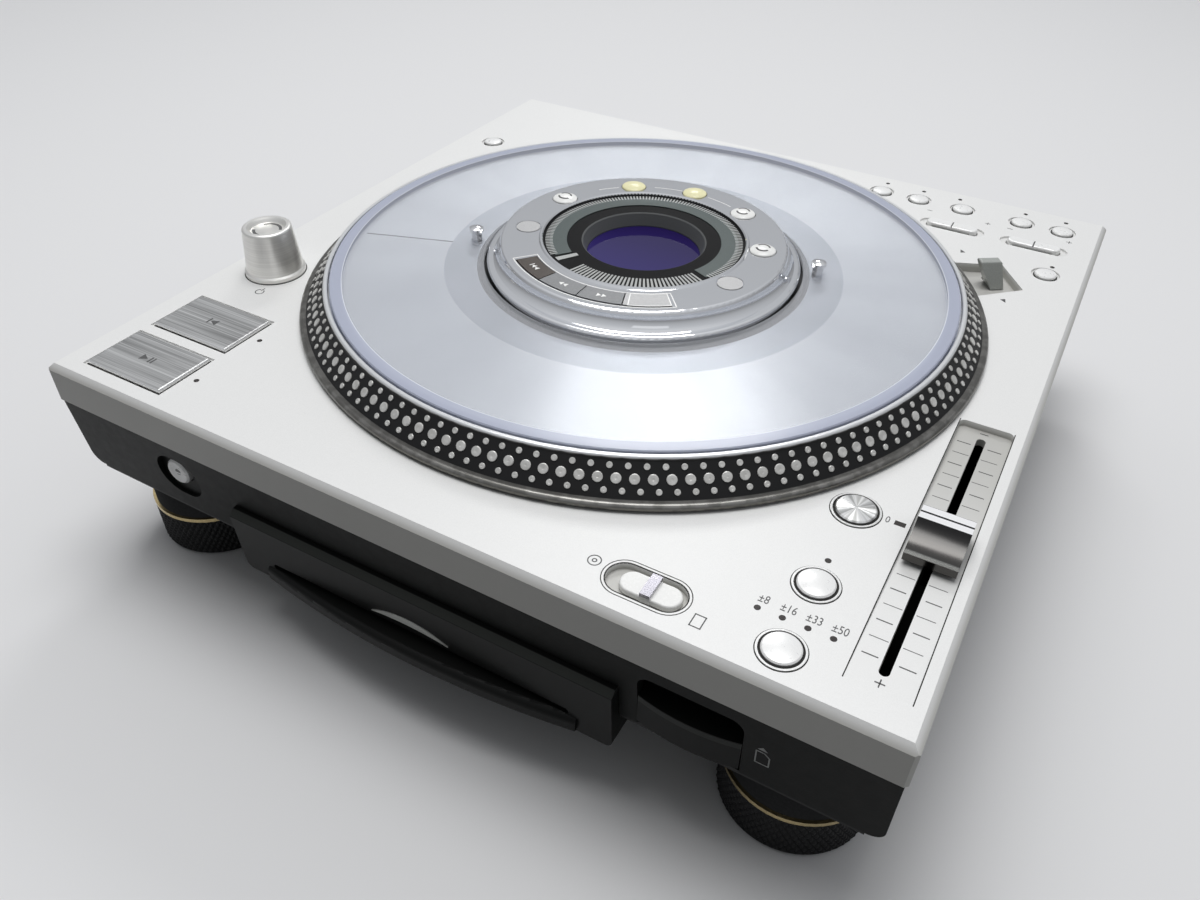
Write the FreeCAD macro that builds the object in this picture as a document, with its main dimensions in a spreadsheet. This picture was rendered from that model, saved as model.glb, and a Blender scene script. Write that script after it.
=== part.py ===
"""Direct drive disc deck: a slot loading player with a motor driven platter on its top panel.

The object stands on four rubber feet. Its frame has X to the right, Y to the back and Z up,
with the origin on the table under the middle of its bounding box. Lengths are millimetres.
Heights written as top + n are counted from the upper face of the top panel.
"""
import FreeCAD, Part
import math
import os

import Sketcher
from FreeCAD import Placement, Rotation, Vector

doc = FreeCAD.newDocument("disc_deck")
sheet = doc.addObject("Spreadsheet::Sheet", "dims")
sub_parts = []


# Sizes and the spreadsheet


class Size:
    """A length together with the spreadsheet formula that gives it."""

    def __init__(self, value, formula):
        self.value = value
        self.formula = formula

    def __add__(self, other):
        return combine(self, "+", other)

    def __radd__(self, other):
        return combine(other, "+", self)

    def __sub__(self, other):
        return combine(self, "-", other)

    def __rsub__(self, other):
        return combine(other, "-", self)

    def __mul__(self, other):
        return combine(self, "*", other)

    def __rmul__(self, other):
        return combine(other, "*", self)

    def __truediv__(self, other):
        return combine(self, "/", other)

    def __neg__(self):
        return combine(0, "-", self)


def as_size(number):
    """Take a plain number as a size with itself for a formula."""
    if isinstance(number, Size):
        return number
    return Size(float(number), "%.6f" % number)


def combine(left, sign, right):
    """Join two sizes by an arithmetic sign, in value and in formula alike."""
    left = as_size(left)
    right = as_size(right)
    answers = {
        "+": lambda: left.value + right.value,
        "-": lambda: left.value - right.value,
        "*": lambda: left.value * right.value,
        "/": lambda: left.value / right.value,
    }
    return Size(answers[sign](), "(%s %s %s)" % (left.formula, sign, right.formula))


def dimension(name, value, meaning):
    """Write one driving dimension into the sheet and give it back as a size."""
    row = dimension.row = getattr(dimension, "row", 0) + 1
    sheet.set("A%d" % row, name)
    sheet.set("B%d" % row, repr(value))
    sheet.set("C%d" % row, meaning)
    sheet.setAlias("B%d" % row, name)
    return Size(float(value), "dims.%s" % name)


panel_width = dimension("panel_width", 320, "top panel, left to right")
panel_depth = dimension("panel_depth", 324, "top panel, front to back")
panel_top = dimension("panel_top", 88, "upper face of the panel above the table")
skirt_height = dimension("skirt_height", 15.5, "height of the panel's bright edge band")
plate_thickness = dimension("plate_thickness", 5, "plate of the top panel")
panel_wall = dimension("panel_wall", 3, "side wall of the top panel")
case_bottom = dimension("case_bottom", 40.6, "lower edge of the dark case")
case_wall = dimension("case_wall", 2.5, "side and back walls of the dark case")
case_inset = dimension("case_inset", 0.8, "case face behind the panel's face")
case_lean = dimension("case_lean", 2.8, "how far the case's front face leans back")
cover_thickness = dimension("cover_thickness", 1.5, "steel bottom cover")
platter_y = dimension("platter_y", -1, "platter axis behind the middle of the panel")
platter_radius = dimension("platter_radius", 137, "platter at its lower lip")
platter_seat = dimension("platter_seat", 11, "seat of the slipmat above the panel")
rim_height = dimension("rim_height", 13.8, "upper rim of the platter above the panel")
disc_radius = dimension("disc_radius", 124, "clear control disc")
disc_bore = dimension("disc_bore", 64.1, "hole of the clear control disc")
post_radius = dimension("post_radius", 15.95, "fixed hollow post in the platter's bearing")
hub_radius = dimension("hub_radius", 62.9, "foot of the chromed hub")
hub_top = dimension("hub_top", 22.6, "key ring of the hub above the panel")
hub_bore = dimension("hub_bore", 40.3, "opening of the hub for the display")
ring_key_circle = dimension("ring_key_circle", 47.2, "circle of the hub's round keys")
ring_key_radius = dimension("ring_key_radius", 5.1, "round key of the hub")
pin_circle = dimension("pin_circle", 69.5, "circle of the two locating pins")
housing_width = dimension("housing_width", 154, "block that holds the disc loader")
housing_top = dimension("housing_top", 55.4, "upper edge of the loader block")
housing_bottom = dimension("housing_bottom", 27, "lower edge of the loader block")
housing_front = dimension("housing_front", -163.5, "front face of the loader block")
housing_back = dimension("housing_back", -4, "back face of the loader block")
housing_wall = dimension("housing_wall", 2.5, "wall of the loader block")
slot_width = dimension("slot_width", 123, "disc slot")
slot_bottom = dimension("slot_bottom", 34, "lower edge of the disc slot")
slot_height = dimension("slot_height", 2.5, "height of the disc slot")
lip_reach = dimension("lip_reach", 5.3, "how far the lip bows forward of the block")
lip_width = dimension("lip_width", 129, "bowed lip under the slot")
spindle_y = dimension("spindle_y", -86, "axis of a loaded disc")
roller_y = dimension("roller_y", -150, "axis of the feed roller")
roller_z = dimension("roller_z", 32.3, "height of the feed roller's axis")
foot_left = dimension("foot_left", -131.5, "feet on the left side")
foot_right = dimension("foot_right", 127.5, "feet on the right side")
foot_y = dimension("foot_y", 128, "feet, from the middle to front and back")
foot_radius = dimension("foot_radius", 25.5, "knurled rubber foot")
foot_neck_radius = dimension("foot_neck_radius", 24.3, "neck of a foot above its ring")
key_gap = dimension("key_gap", 0.4, "gap around a key in its opening")

half_width = panel_width / 2
half_depth = panel_depth / 2
top = panel_top
plate_under = panel_top - plate_thickness


# Sketch and feature helpers


def is_bound(size):
    """Say whether a size depends on the sheet."""
    return "dims." in size.formula


def drive(thing, path, size):
    """Bind a property to the sheet, or set it where the size is a plain number."""
    size = as_size(size)
    if is_bound(size) or "." in path:
        thing.setExpression(path, size.formula)
    else:
        setattr(thing, path, size.value)


def place(thing, x=0, y=0, z=0):
    """Move an object to a point given by sizes."""
    for axis, size in zip("xyz", (x, y, z)):
        if as_size(size).formula != as_size(0).formula:
            drive(thing, "Placement.Base.%s" % axis, size)
    return thing


def keep(thing, label):
    """Name a finished sub-part, which is then written out under that name."""
    thing.Label = label
    sub_parts.append(thing)
    return thing


def new_body(label):
    """Start a sub-part as a body."""
    return keep(doc.addObject("PartDesign::Body", label + "_body"), label)


def sketch_on(body, name, role="XY_Plane", lift=0):
    """Attach a sketch to one origin plane of its body, moved along the plane's normal."""
    sketch = body.newObject("Sketcher::SketchObject", name)
    planes = [item for item in body.Origin.OriginFeatures if item.Role == role]
    sketch.AttachmentSupport = [(planes[0], "")]
    sketch.MapMode = "FlatFace"
    if as_size(lift).formula != as_size(0).formula:
        drive(sketch, ".AttachmentOffset.Base.z", lift)
    return sketch


def fix(sketch, kind, where, size):
    """Add a dimension to a sketch and bind it where the sheet gives its value."""
    size = as_size(size)
    index = sketch.addConstraint(Sketcher.Constraint(kind, *where, size.value))
    if is_bound(size):
        sketch.setExpression("Constraints[%d]" % index, size.formula)


def pin(sketch, edge, end, point):
    """Fix one end of an edge at a point (x, y)."""
    fix(sketch, "DistanceX", (-1, 1, edge, end), point[0])
    fix(sketch, "DistanceY", (-1, 1, edge, end), point[1])


def spot(point):
    """Turn a point of sizes into a vector."""
    return Vector(as_size(point[0]).value, as_size(point[1]).value, 0)


def add_arc(sketch, start, finish, radius):
    """Add an arc between two points: it turns left for a positive radius, right for a negative."""
    turn = 1 if as_size(radius).value > 0 else -1
    reach = abs(as_size(radius).value)
    chord = finish - start
    side = Vector(-chord.y, chord.x, 0).normalize()
    away = math.sqrt(max(reach ** 2 - (chord.Length / 2) ** 2, 0))
    centre = (start + finish) / 2 + side * away * turn
    first, last = (start, finish) if turn > 0 else (finish, start)
    begin = math.atan2(first.y - centre.y, first.x - centre.x)
    end = math.atan2(last.y - centre.y, last.x - centre.x)
    ring = Part.Circle(centre, Vector(0, 0, 1), reach)
    edge = sketch.addGeometry(Part.ArcOfCircle(ring, begin, end), False)
    return edge, (1, 2) if turn > 0 else (2, 1)


def fix_arc(sketch, edge, point, start, finish, radius):
    """Fix an arc by its radius, or a half circle by its middle, which lies on the chord."""
    radius = as_size(radius)
    if (finish - start).Length < abs(radius.value) * 1.999:
        fix(sketch, "Radius", (edge,), -radius if radius.value < 0 else radius)
    elif abs(finish.x - start.x) < abs(finish.y - start.y):
        fix(sketch, "DistanceX", (-1, 1, edge, 3), point[0])
    else:
        fix(sketch, "DistanceY", (-1, 1, edge, 3), point[1])


def outline(sketch, points, arcs=None):
    """Draw a closed outline through the points; arcs maps a point's number to a radius."""
    arcs = arcs or {}
    edges = []
    for number, point in enumerate(points):
        start = spot(point)
        finish = spot(points[(number + 1) % len(points)])
        if number in arcs:
            edges.append(add_arc(sketch, start, finish, arcs[number]))
            fix_arc(sketch, edges[-1][0], point, start, finish, arcs[number])
        else:
            edges.append((sketch.addGeometry(Part.LineSegment(start, finish), False), (1, 2)))
    for number, (edge, ends) in enumerate(edges):
        following, next_ends = edges[(number + 1) % len(edges)]
        sketch.addConstraint(
            Sketcher.Constraint("Coincident", edge, ends[1], following, next_ends[0])
        )
        pin(sketch, edge, ends[0], points[number])


def rectangle(sketch, x, y, width, depth):
    """Draw a rectangle round a middle point."""
    left, right = x - width / 2, x + width / 2
    low, high = y - depth / 2, y + depth / 2
    outline(sketch, [(left, low), (right, low), (right, high), (left, high)])


def rounded(sketch, x, y, width, depth, corner):
    """Draw a rectangle with round corners round a middle point."""
    left, right = x - width / 2, x + width / 2
    low, high = y - depth / 2, y + depth / 2
    outline(sketch, [(left + corner, low), (right - corner, low), (right, low + corner),
                     (right, high - corner), (right - corner, high), (left + corner, high),
                     (left, high - corner), (left, low + corner)],
            {1: corner, 3: corner, 5: corner, 7: corner})


def circle(sketch, x, y, radius):
    """Draw a circle."""
    ring = Part.Circle(spot((x, y)), Vector(0, 0, 1), as_size(radius).value)
    edge = sketch.addGeometry(ring, False)
    pin(sketch, edge, 3, (x, y))
    fix(sketch, "Radius", (edge,), radius)


def long_hole(sketch, x, y, length, width, along="x"):
    """Draw a slot with round ends, length over all."""
    reach = (length - width) / 2
    half = width / 2
    if along == "x":
        points = [(x - reach, y - half), (x + reach, y - half), (x + reach, y + half), (x - reach, y + half)]
    else:
        points = [(x + half, y - reach), (x + half, y + reach), (x - half, y + reach), (x - half, y - reach)]
    outline(sketch, points, {1: half, 3: half})


def pad(body, sketch, length, upwards=True):
    """Raise a sketch into a solid."""
    feature = body.newObject("PartDesign::Pad", sketch.Name + "_pad")
    feature.Profile = sketch
    drive(feature, "Length", length)
    feature.Reversed = not upwards
    sketch.Visibility = False
    return feature


def pocket(body, sketch, depth, upwards=False):
    """Cut a sketch out of the body, downwards unless told otherwise."""
    feature = body.newObject("PartDesign::Pocket", sketch.Name + "_pocket")
    feature.Profile = sketch
    drive(feature, "Length", depth)
    feature.Reversed = upwards
    return feature


def turned_body(label, points, arcs=None):
    """Make a body by turning a half profile of (radius, height) once round the vertical axis."""
    body = new_body(label)
    sketch = sketch_on(body, label + "_profile", "XZ_Plane")
    outline(sketch, points, arcs)
    feature = body.newObject("PartDesign::Revolution", label + "_turn")
    feature.Profile = sketch
    feature.ReferenceAxis = (sketch, ["V_Axis"])
    feature.Angle = 360
    return body


def around(body, feature, count):
    """Repeat a feature round the body's vertical axis."""
    pattern = body.newObject("PartDesign::PolarPattern", feature.Name + "_round")
    pattern.Originals = [feature]
    sketch = feature.Profile[0]
    pattern.Axis = (sketch, ["N_Axis"])
    pattern.Angle = 360
    pattern.Occurrences = count
    body.Tip = pattern
    return pattern


def edges_where(body, test):
    """Name the edges of the body whose two ends and middle all pass a test."""
    doc.recompute()
    names = []
    for number, edge in enumerate(body.Tip.Shape.Edges, 1):
        middle = edge.valueAt((edge.FirstParameter + edge.LastParameter) / 2)
        if test(middle) and all(test(vertex.Point) for vertex in edge.Vertexes):
            names.append("Edge%d" % number)
    return names


def soften(body, kind, size, test):
    """Fillet or chamfer the edges that pass a test."""
    base = body.Tip
    names = edges_where(body, test)
    feature = body.newObject("PartDesign::" + kind, "%s_%s" % (body.Name, kind.lower()))
    feature.Base = (base, names)
    drive(feature, "Radius" if kind == "Fillet" else "Size", size)
    return feature


def near(value, target, slack=0.05):
    """Say whether a number is close to a size."""
    return abs(value - as_size(target).value) < slack


def box(name, x, y, z):
    """Make a box from its three (low, high) pairs."""
    thing = doc.addObject("Part::Box", name)
    for prop, (low, high) in zip(("Length", "Width", "Height"), (x, y, z)):
        drive(thing, prop, high - low)
    return place(thing, x[0], y[0], z[0])


def rod(name, radius, start, length, axis="z"):
    """Make a cylinder from its start point along +X, +Y or +Z."""
    thing = doc.addObject("Part::Cylinder", name)
    drive(thing, "Radius", radius)
    drive(thing, "Height", length)
    if axis == "x":
        thing.Placement = Placement(Vector(), Rotation(Vector(0, 1, 0), 90))
    if axis == "y":
        thing.Placement = Placement(Vector(), Rotation(Vector(1, 0, 0), -90))
    return place(thing, *start)


def fused(name, pieces):
    """Join touching solids into one."""
    thing = doc.addObject("Part::MultiFuse", name)
    thing.Shapes = pieces
    thing.Refine = True
    return thing


def without(name, base, tools):
    """Cut tools away from a solid."""
    thing = doc.addObject("Part::Cut", name)
    thing.Base = base
    thing.Tool = tools[0] if len(tools) == 1 else fused(name + "_tools", tools)
    thing.Refine = True
    return thing


def grouped(label, pieces):
    """Keep several like solids as one sub-part."""
    thing = doc.addObject("Part::Compound", label + "_group")
    thing.Links = pieces
    return keep(thing, label)


def polar(radius, degrees):
    """Give the point at a radius and a plain angle."""
    return (
        radius * round(math.cos(math.radians(degrees)), 6),
        radius * round(math.sin(math.radians(degrees)), 6),
    )


# Where the controls sit on the top panel, from the middle of the panel

square_keys = {"play_button": (-129.3, -141.6), "cue_button": (-129.1, -111.4)}
square_key_width = dimension("square_key_width", 37.1, "play and cue keys")
square_key_depth = dimension("square_key_depth", 23.3, "play and cue keys")
square_recess_margin = dimension("square_recess_margin", 1.2, "shallow step round those keys")

ringed_keys = {"reset_button": (119.5, -87.3), "lock_button": (119.5, -122.9), "range_button": (119.5, -149.6)}
reset_key_radius = dimension("reset_key_radius", 6.4, "reset key")
ringed_key_radius = dimension("ringed_key_radius", 5.6, "lock and range keys")
ring_margin = dimension("ring_margin", 1.0, "bright ring round those keys")

dimple_row_y = dimension("dimple_row_y", 143.3, "row of five round keys at the back")
dimple_keys = {
    "memory_button_1": (57.9, dimple_row_y),
    "memory_button_2": (76.2, dimple_row_y),
    "memory_button_3": (97.2, dimple_row_y),
    "memory_button_4": (124.4, dimple_row_y),
    "memory_button_5": (142.6, dimple_row_y),
    "mode_button": (143.1, 97.6),
    "auxiliary_button": (-140.1, 94.6),
}
dimple_key_radius = dimension("dimple_key_radius", 4.5, "round keys at the back")
dimple_radius = dimension("dimple_radius", 5.9, "shallow dimple round those keys")

rocker_y = dimension("rocker_y", 121.8, "row of the two rocker keys")
rocker_keys = {"search_rocker": (97.4, rocker_y), "track_rocker": (133.6, rocker_y)}
rocker_length = dimension("rocker_length", 22.8, "rocker key")
rocker_width = dimension("rocker_width", 5.8, "rocker key")

rocker_pin_radius = dimension("rocker_pin_radius", 1.0, "pivot pins of a rocker key")
rocker_pin_height = dimension("rocker_pin_height", 84.1, "pivot pins of a rocker key above the table")

selector_x = dimension("selector_x", 78.6, "source selector")
selector_y = dimension("selector_y", -147.8, "source selector")
selector_length = dimension("selector_length", 25, "recess of the source selector")
selector_width = dimension("selector_width", 11.6, "recess of the source selector")
selector_travel = dimension("selector_travel", 3.6, "travel of the source selector")

fader_x = dimension("fader_x", 145.3, "pitch fader")
fader_y = dimension("fader_y", -86.7, "middle of the fader's bed")
fader_bed_length = dimension("fader_bed_length", 126, "sloping bed of the fader")
fader_bed_width = dimension("fader_bed_width", 18, "sloping bed of the fader")
fader_slot_length = dimension("fader_slot_length", 115.5, "slot of the fader")
fader_slot_width = dimension("fader_slot_width", 3.0, "slot of the fader")
fader_slot_y = dimension("fader_slot_y", -86.5, "middle of the fader's slot")
fader_cap_y = dimension("fader_cap_y", -91, "fader cap at rest")
fader_sink = dimension("fader_sink", 2.4, "depth of the fader's bed at its back end")

knob_x = dimension("knob_x", -138.3, "power knob")
knob_y = dimension("knob_y", -68.1, "power knob")
knob_radius = dimension("knob_radius", 12.3, "flange of the power knob")
knob_height = dimension("knob_height", 20.4, "power knob above the panel")

lever_angle = 34
lever_front_half = dimension("lever_front_half", 10.7, "outer end of the lever's recess, half")
lever_back_half = dimension("lever_back_half", 15.3, "inner end of the lever's recess, half")
lever_recess_start = dimension("lever_recess_start", 131.5, "lever recess from the platter axis")
lever_recess_end = dimension("lever_recess_end", 158.5, "lever recess from the platter axis")
lever_recess_depth = dimension("lever_recess_depth", 4, "lever recess")
lever_stem_radius = dimension("lever_stem_radius", 151, "lever stem from the platter axis")
lever_stem_side = dimension("lever_stem_side", 2.4, "lever stem from the middle of its recess")
lever_reach = dimension("lever_reach", 5.3, "half the slot of the lever's stem")
lever_rise = dimension("lever_rise", 7.4, "top of the lever above the panel")


def lever_point(outwards, sideways):
    """Give a point of the lever's own axes, radial and tangential, in the panel's axes."""
    along = polar(outwards, lever_angle)
    across = polar(sideways, lever_angle + 90)
    return (along[0] + across[0], along[1] + across[1] + platter_y)


# Top panel: cast aluminium plate with a skirt, cut for the motor and every control


def make_top_panel():
    body = new_body("top_panel")
    shape = sketch_on(body, "panel_outline", lift=panel_top - skirt_height)
    rectangle(shape, 0, 0, panel_width, panel_depth)
    pad(body, shape, skirt_height)
    soften(body, "Chamfer", 2.2, lambda point: near(point.z, panel_top))
    corners = sketch_on(body, "panel_corners", lift=panel_top)
    cut = 1.1
    for right in (-1, 1):
        for back in (-1, 1):
            x, y = half_width * right, half_depth * back
            points = [(x, y), (x - cut * right, y), (x, y - cut * back)]
            outline(corners, points if right * back < 0 else points[::-1])
    pocket(body, corners, skirt_height)
    hollow = sketch_on(body, "panel_hollow", lift=panel_top - skirt_height)
    rectangle(hollow, 0, 0, panel_width - panel_wall * 2, panel_depth - panel_wall * 2)
    pocket(body, hollow, skirt_height - plate_thickness, upwards=True)
    opening = sketch_on(body, "motor_opening", lift=panel_top)
    circle(opening, 0, platter_y, 104)
    pocket(body, opening, plate_thickness)
    cut_recesses(body)
    cut_key_holes(body)
    cut_fader_wedge(body)
    return body


def cut_recesses(body):
    """Sink the shallow steps, ring seats, dimples and the selector's and lever's recesses."""
    steps = sketch_on(body, "shallow_steps", lift=panel_top)
    margin = square_recess_margin * 2
    for x, y in square_keys.values():
        rectangle(steps, x, y, square_key_width + margin, square_key_depth + margin)
    for name, (x, y) in ringed_keys.items():
        radius = reset_key_radius if name == "reset_button" else ringed_key_radius
        circle(steps, x, y, radius + key_gap + ring_margin)
    for x, y in dimple_keys.values():
        circle(steps, x, y, dimple_radius)
    for x, y in rocker_keys.values():
        long_hole(steps, x, y, rocker_length + 6.4, rocker_width + 2.6)
    pocket(body, steps, 0.8)
    deep = sketch_on(body, "selector_recess", lift=panel_top)
    long_hole(deep, selector_x, selector_y, selector_length, selector_width)
    pocket(body, deep, 2.2)
    well = sketch_on(body, "lever_recess", lift=panel_top)
    corners = [(lever_recess_start, -lever_back_half), (lever_recess_end, -lever_front_half),
               (lever_recess_end, lever_front_half), (lever_recess_start, lever_back_half)]
    outline(well, [lever_point(*corner) for corner in corners])
    pocket(body, well, lever_recess_depth)


def cut_key_holes(body):
    """Cut the openings that the keys, the knob and the sliding stems pass through."""
    holes = sketch_on(body, "key_holes", lift=panel_top)
    for x, y in square_keys.values():
        rectangle(holes, x, y, square_key_width + key_gap * 2, square_key_depth + key_gap * 2)
    for name, (x, y) in ringed_keys.items():
        radius = reset_key_radius if name == "reset_button" else ringed_key_radius
        circle(holes, x, y, radius + key_gap)
    for x, y in dimple_keys.values():
        circle(holes, x, y, dimple_key_radius + key_gap)
    for x, y in rocker_keys.values():
        long_hole(holes, x, y, rocker_length + key_gap * 2, rocker_width + key_gap * 2)
    circle(holes, knob_x, knob_y, 4.4)
    long_hole(holes, selector_x, selector_y, selector_travel + 8, 4.0)
    long_hole(holes, fader_x - 0.2, fader_slot_y, fader_slot_length, fader_slot_width, "y")
    front_end, back_end = lever_stem_side - lever_reach, lever_stem_side + lever_reach
    corners = [(-2.3, front_end), (2.3, front_end), (2.3, back_end), (-2.3, back_end)]
    outline(holes, [lever_point(lever_stem_radius + out, side) for out, side in corners])
    pocket(body, holes, plate_thickness)
    seats = sketch_on(body, "rocker_pin_seats", lift=plate_under)
    for x, y in rocker_keys.values():
        rectangle(seats, x, y, rocker_pin_radius * 2 + 0.4, rocker_width + 4.4)
    pocket(body, seats, rocker_pin_height - plate_under + rocker_pin_radius + 0.2, upwards=True)


def cut_fader_wedge(body):
    """Sink the fader's bed, level with the panel at the front and deepest at the back."""
    wedge = sketch_on(body, "fader_wedge", "YZ_Plane", fader_x - fader_bed_width / 2)
    low, high = fader_y - fader_bed_length / 2, fader_y + fader_bed_length / 2
    outline(wedge, [(low, panel_top), (high, panel_top - fader_sink), (high, panel_top + 1),
                    (low, panel_top + 1)])
    pocket(body, wedge, fader_bed_width, upwards=True)
    soften(body, "Fillet", 2.0, lambda point: near(point.y, high) and near(
        abs(point.x - fader_x.value), fader_bed_width / 2) and point.z < panel_top.value + 0.1)


# Dark lower case: walls with a leaning front face and a flange for the bottom cover

case_front = case_inset - half_depth
case_back = half_depth - case_inset
front_wall_inside = case_front + case_lean + case_wall


def make_lower_case():
    body = new_body("lower_case")
    case_top = panel_top - skirt_height
    half = half_width - case_inset
    side = sketch_on(body, "case_side", "YZ_Plane", -half)
    outline(side, [(case_front + case_lean, case_bottom), (case_back, case_bottom),
                   (case_back, case_top), (case_front, case_top)])
    pad(body, side, half * 2)
    soften(body, "Fillet", 5.0, lambda point: near(point.z, case_bottom) and near(abs(point.x), half))
    inside = sketch_on(body, "case_inside", lift=case_top)
    inner_back = case_back - case_wall
    rectangle(inside, 0, (front_wall_inside + inner_back) / 2, (half - case_wall) * 2,
              inner_back - front_wall_inside)
    pocket(body, inside, case_top - case_bottom - 2)
    floor = sketch_on(body, "case_floor_opening", lift=case_bottom + 2)
    rectangle(floor, 0, 3, 282, 298)
    pocket(body, floor, 2)
    add_case_posts(body)
    cut_case_front(body)
    cut_case_back(body)
    return body


def post_places():
    """Give the six places where a post joins the bottom cover, the case and the panel."""
    return [(side * 149.5, y) for side in (-1, 1) for y in (-150, 0, 153.5)]


def add_case_posts(body):
    """Stand six screw posts on the flange: five reach the panel, the first stays under a key."""
    places = post_places()
    groups = {"case_posts": (places[1:], plate_under), "case_short_post": (places[:1], plate_under - 4)}
    for name, (centres, high) in groups.items():
        posts = sketch_on(body, name, lift=case_bottom)
        for x, y in centres:
            circle(posts, x, y, 4)
        pad(body, posts, high - case_bottom)
    pilots = sketch_on(body, "case_pilots", lift=case_bottom)
    for x, y in post_places():
        circle(pilots, x, y, 1.5)
    pocket(body, pilots, 12, upwards=True)


eject_x = dimension("eject_x", -105.1, "eject button on the front")
eject_z = dimension("eject_z", 58.6, "eject button above the table")
eject_radius = dimension("eject_radius", 5.2, "eject button")
eject_dish_width = dimension("eject_dish_width", 20.7, "recess of the eject button")
eject_dish_height = dimension("eject_dish_height", 17.8, "recess of the eject button")
card_x = dimension("card_x", 100.05, "card recess on the front")
card_width = dimension("card_width", 33.2, "card recess")
card_top = dimension("card_top", 66.0, "upper edge of the card recess")
fascia_top = dimension("fascia_top", 55.7, "upper edge of the card socket's bowed fascia")
jack_z = dimension("jack_z", 58, "row of jacks on the back")
rear_jacks = {"left_jack": -40, "right_jack": -58, "digital_jack": -92}
inlet_x = dimension("inlet_x", 98, "mains inlet on the back")


def cut_case_front(body):
    """Open the front wall for the loader block, the eject button and the card socket."""
    bay = sketch_on(body, "loader_bay", "XZ_Plane", half_depth)
    half = housing_width / 2 + 0.2
    outline(bay, [(-half, case_bottom - 1), (half, case_bottom - 1),
                  (half, housing_top + 0.2), (-half, housing_top + 0.2)])
    pocket(body, bay, 17)
    cuts = sketch_on(body, "card_bay", "XZ_Plane", half_depth)
    left, right = card_x - card_width / 2, card_x + card_width / 2
    bend = 4.5
    outline(cuts, [(left, case_bottom - 1), (right, case_bottom - 1), (right, card_top - bend),
                   (right - bend, card_top), (left + bend, card_top), (left, card_top - bend)],
            {2: bend, 4: bend})
    circle(cuts, eject_x, eject_z, eject_radius + key_gap)
    pocket(body, cuts, 14)
    dish = sketch_on(body, "eject_dish", "XZ_Plane", half_depth)
    rounded(dish, eject_x, eject_z - 2.1, eject_dish_width, eject_dish_height, 8.6)
    pocket(body, dish, 4.4)


def cut_case_back(body):
    """Open the back wall for the jacks and the mains inlet."""
    cuts = sketch_on(body, "case_back_cuts", "XZ_Plane", -half_depth)
    for x in rear_jacks.values():
        circle(cuts, x, jack_z, 5.2)
    rectangle(cuts, inlet_x, jack_z, 24, 17)
    pocket(body, cuts, 6, upwards=True)


# Bottom cover: steel plate, notched for the loader block, held by six screws


def make_bottom_cover():
    body = new_body("bottom_cover")
    plate = sketch_on(body, "cover_outline", lift=case_bottom - cover_thickness)
    x, y = half_width - 6, half_depth - 4
    notch = housing_width / 2 + 0.2
    outline(plate, [(-x, -y), (-notch, -y), (-notch, housing_back + 0.2), (notch, housing_back + 0.2),
                    (notch, -y), (x, -y), (x, y), (-x, y)])
    pad(body, plate, cover_thickness)
    holes = sketch_on(body, "cover_holes", lift=case_bottom)
    for x, y in post_places():
        circle(holes, x, y, 1.5)
    for number in range(9):
        long_hole(holes, -60 + number * 15, 110, 30, 3, "y")
    pocket(body, holes, cover_thickness)
    return body


def make_cover_screws():
    pieces = []
    under = case_bottom - cover_thickness
    for number, (x, y) in enumerate(post_places()):
        head = rod("screw_head_%d" % number, 3, (x, y, under - 1.8), 1.8)
        shank = rod("screw_shank_%d" % number, 1.5, (x, y, under - 0.4), 11)
        pieces.append(fused("screw_%d" % number, [head, shank]))
    return grouped("cover_screws", pieces)


def foot_places():
    """Give the four places of the feet."""
    return [(x, foot_y * back) for x in (foot_left, foot_right) for back in (-1, 1)]


ring_low = dimension("ring_low", 18.6, "lower face of the brass ring on a foot")
ring_high = dimension("ring_high", 20.2, "upper face of the brass ring on a foot")


def make_feet():
    """Turn each foot as a wide knurled pad under a narrower neck, with a brass ring between."""
    under = case_bottom - cover_thickness
    pads = []
    rings = []
    for number, (x, y) in enumerate(foot_places()):
        base = rod("foot_base_%d" % number, foot_radius - 1.5, (x, y, 0), 1.5)
        tread = rod("foot_tread_%d" % number, foot_radius, (x, y, 1.5), ring_low - 1.5)
        neck = rod("foot_neck_%d" % number, foot_neck_radius, (x, y, ring_low), under - ring_low)
        pads.append(fused("foot_%d" % number, [base, tread, neck]))
        ring = rod("ring_outer_%d" % number, foot_radius, (x, y, ring_low), ring_high - ring_low)
        bore = rod("ring_bore_%d" % number, foot_neck_radius, (x, y, ring_low), ring_high - ring_low)
        rings.append(without("foot_ring_%d" % number, ring, [bore]))
    grouped("foot_pads", pads)
    grouped("foot_rings", rings)


# Loader block: a moulded tub with the disc slot, the bowed lip and a crescent of bright trim

housing_lean = dimension("housing_lean", 1.5, "how far the block's front face leans back")
trim_half_width = dimension("trim_half_width", 16, "crescent over the disc slot, half")
trim_base = dimension("trim_base", 38.6, "height of the crescent's two tips")


def crescent(sketch, low_rise, high_rise):
    """Draw a crescent between two arcs over one chord, given how far each one rises."""
    span = trim_half_width
    upper = (span * span / high_rise + high_rise) / 2
    lower = (span * span / low_rise + low_rise) / 2
    outline(sketch, [(-span, trim_base), (span, trim_base)], {0: -lower, 1: upper})


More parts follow.
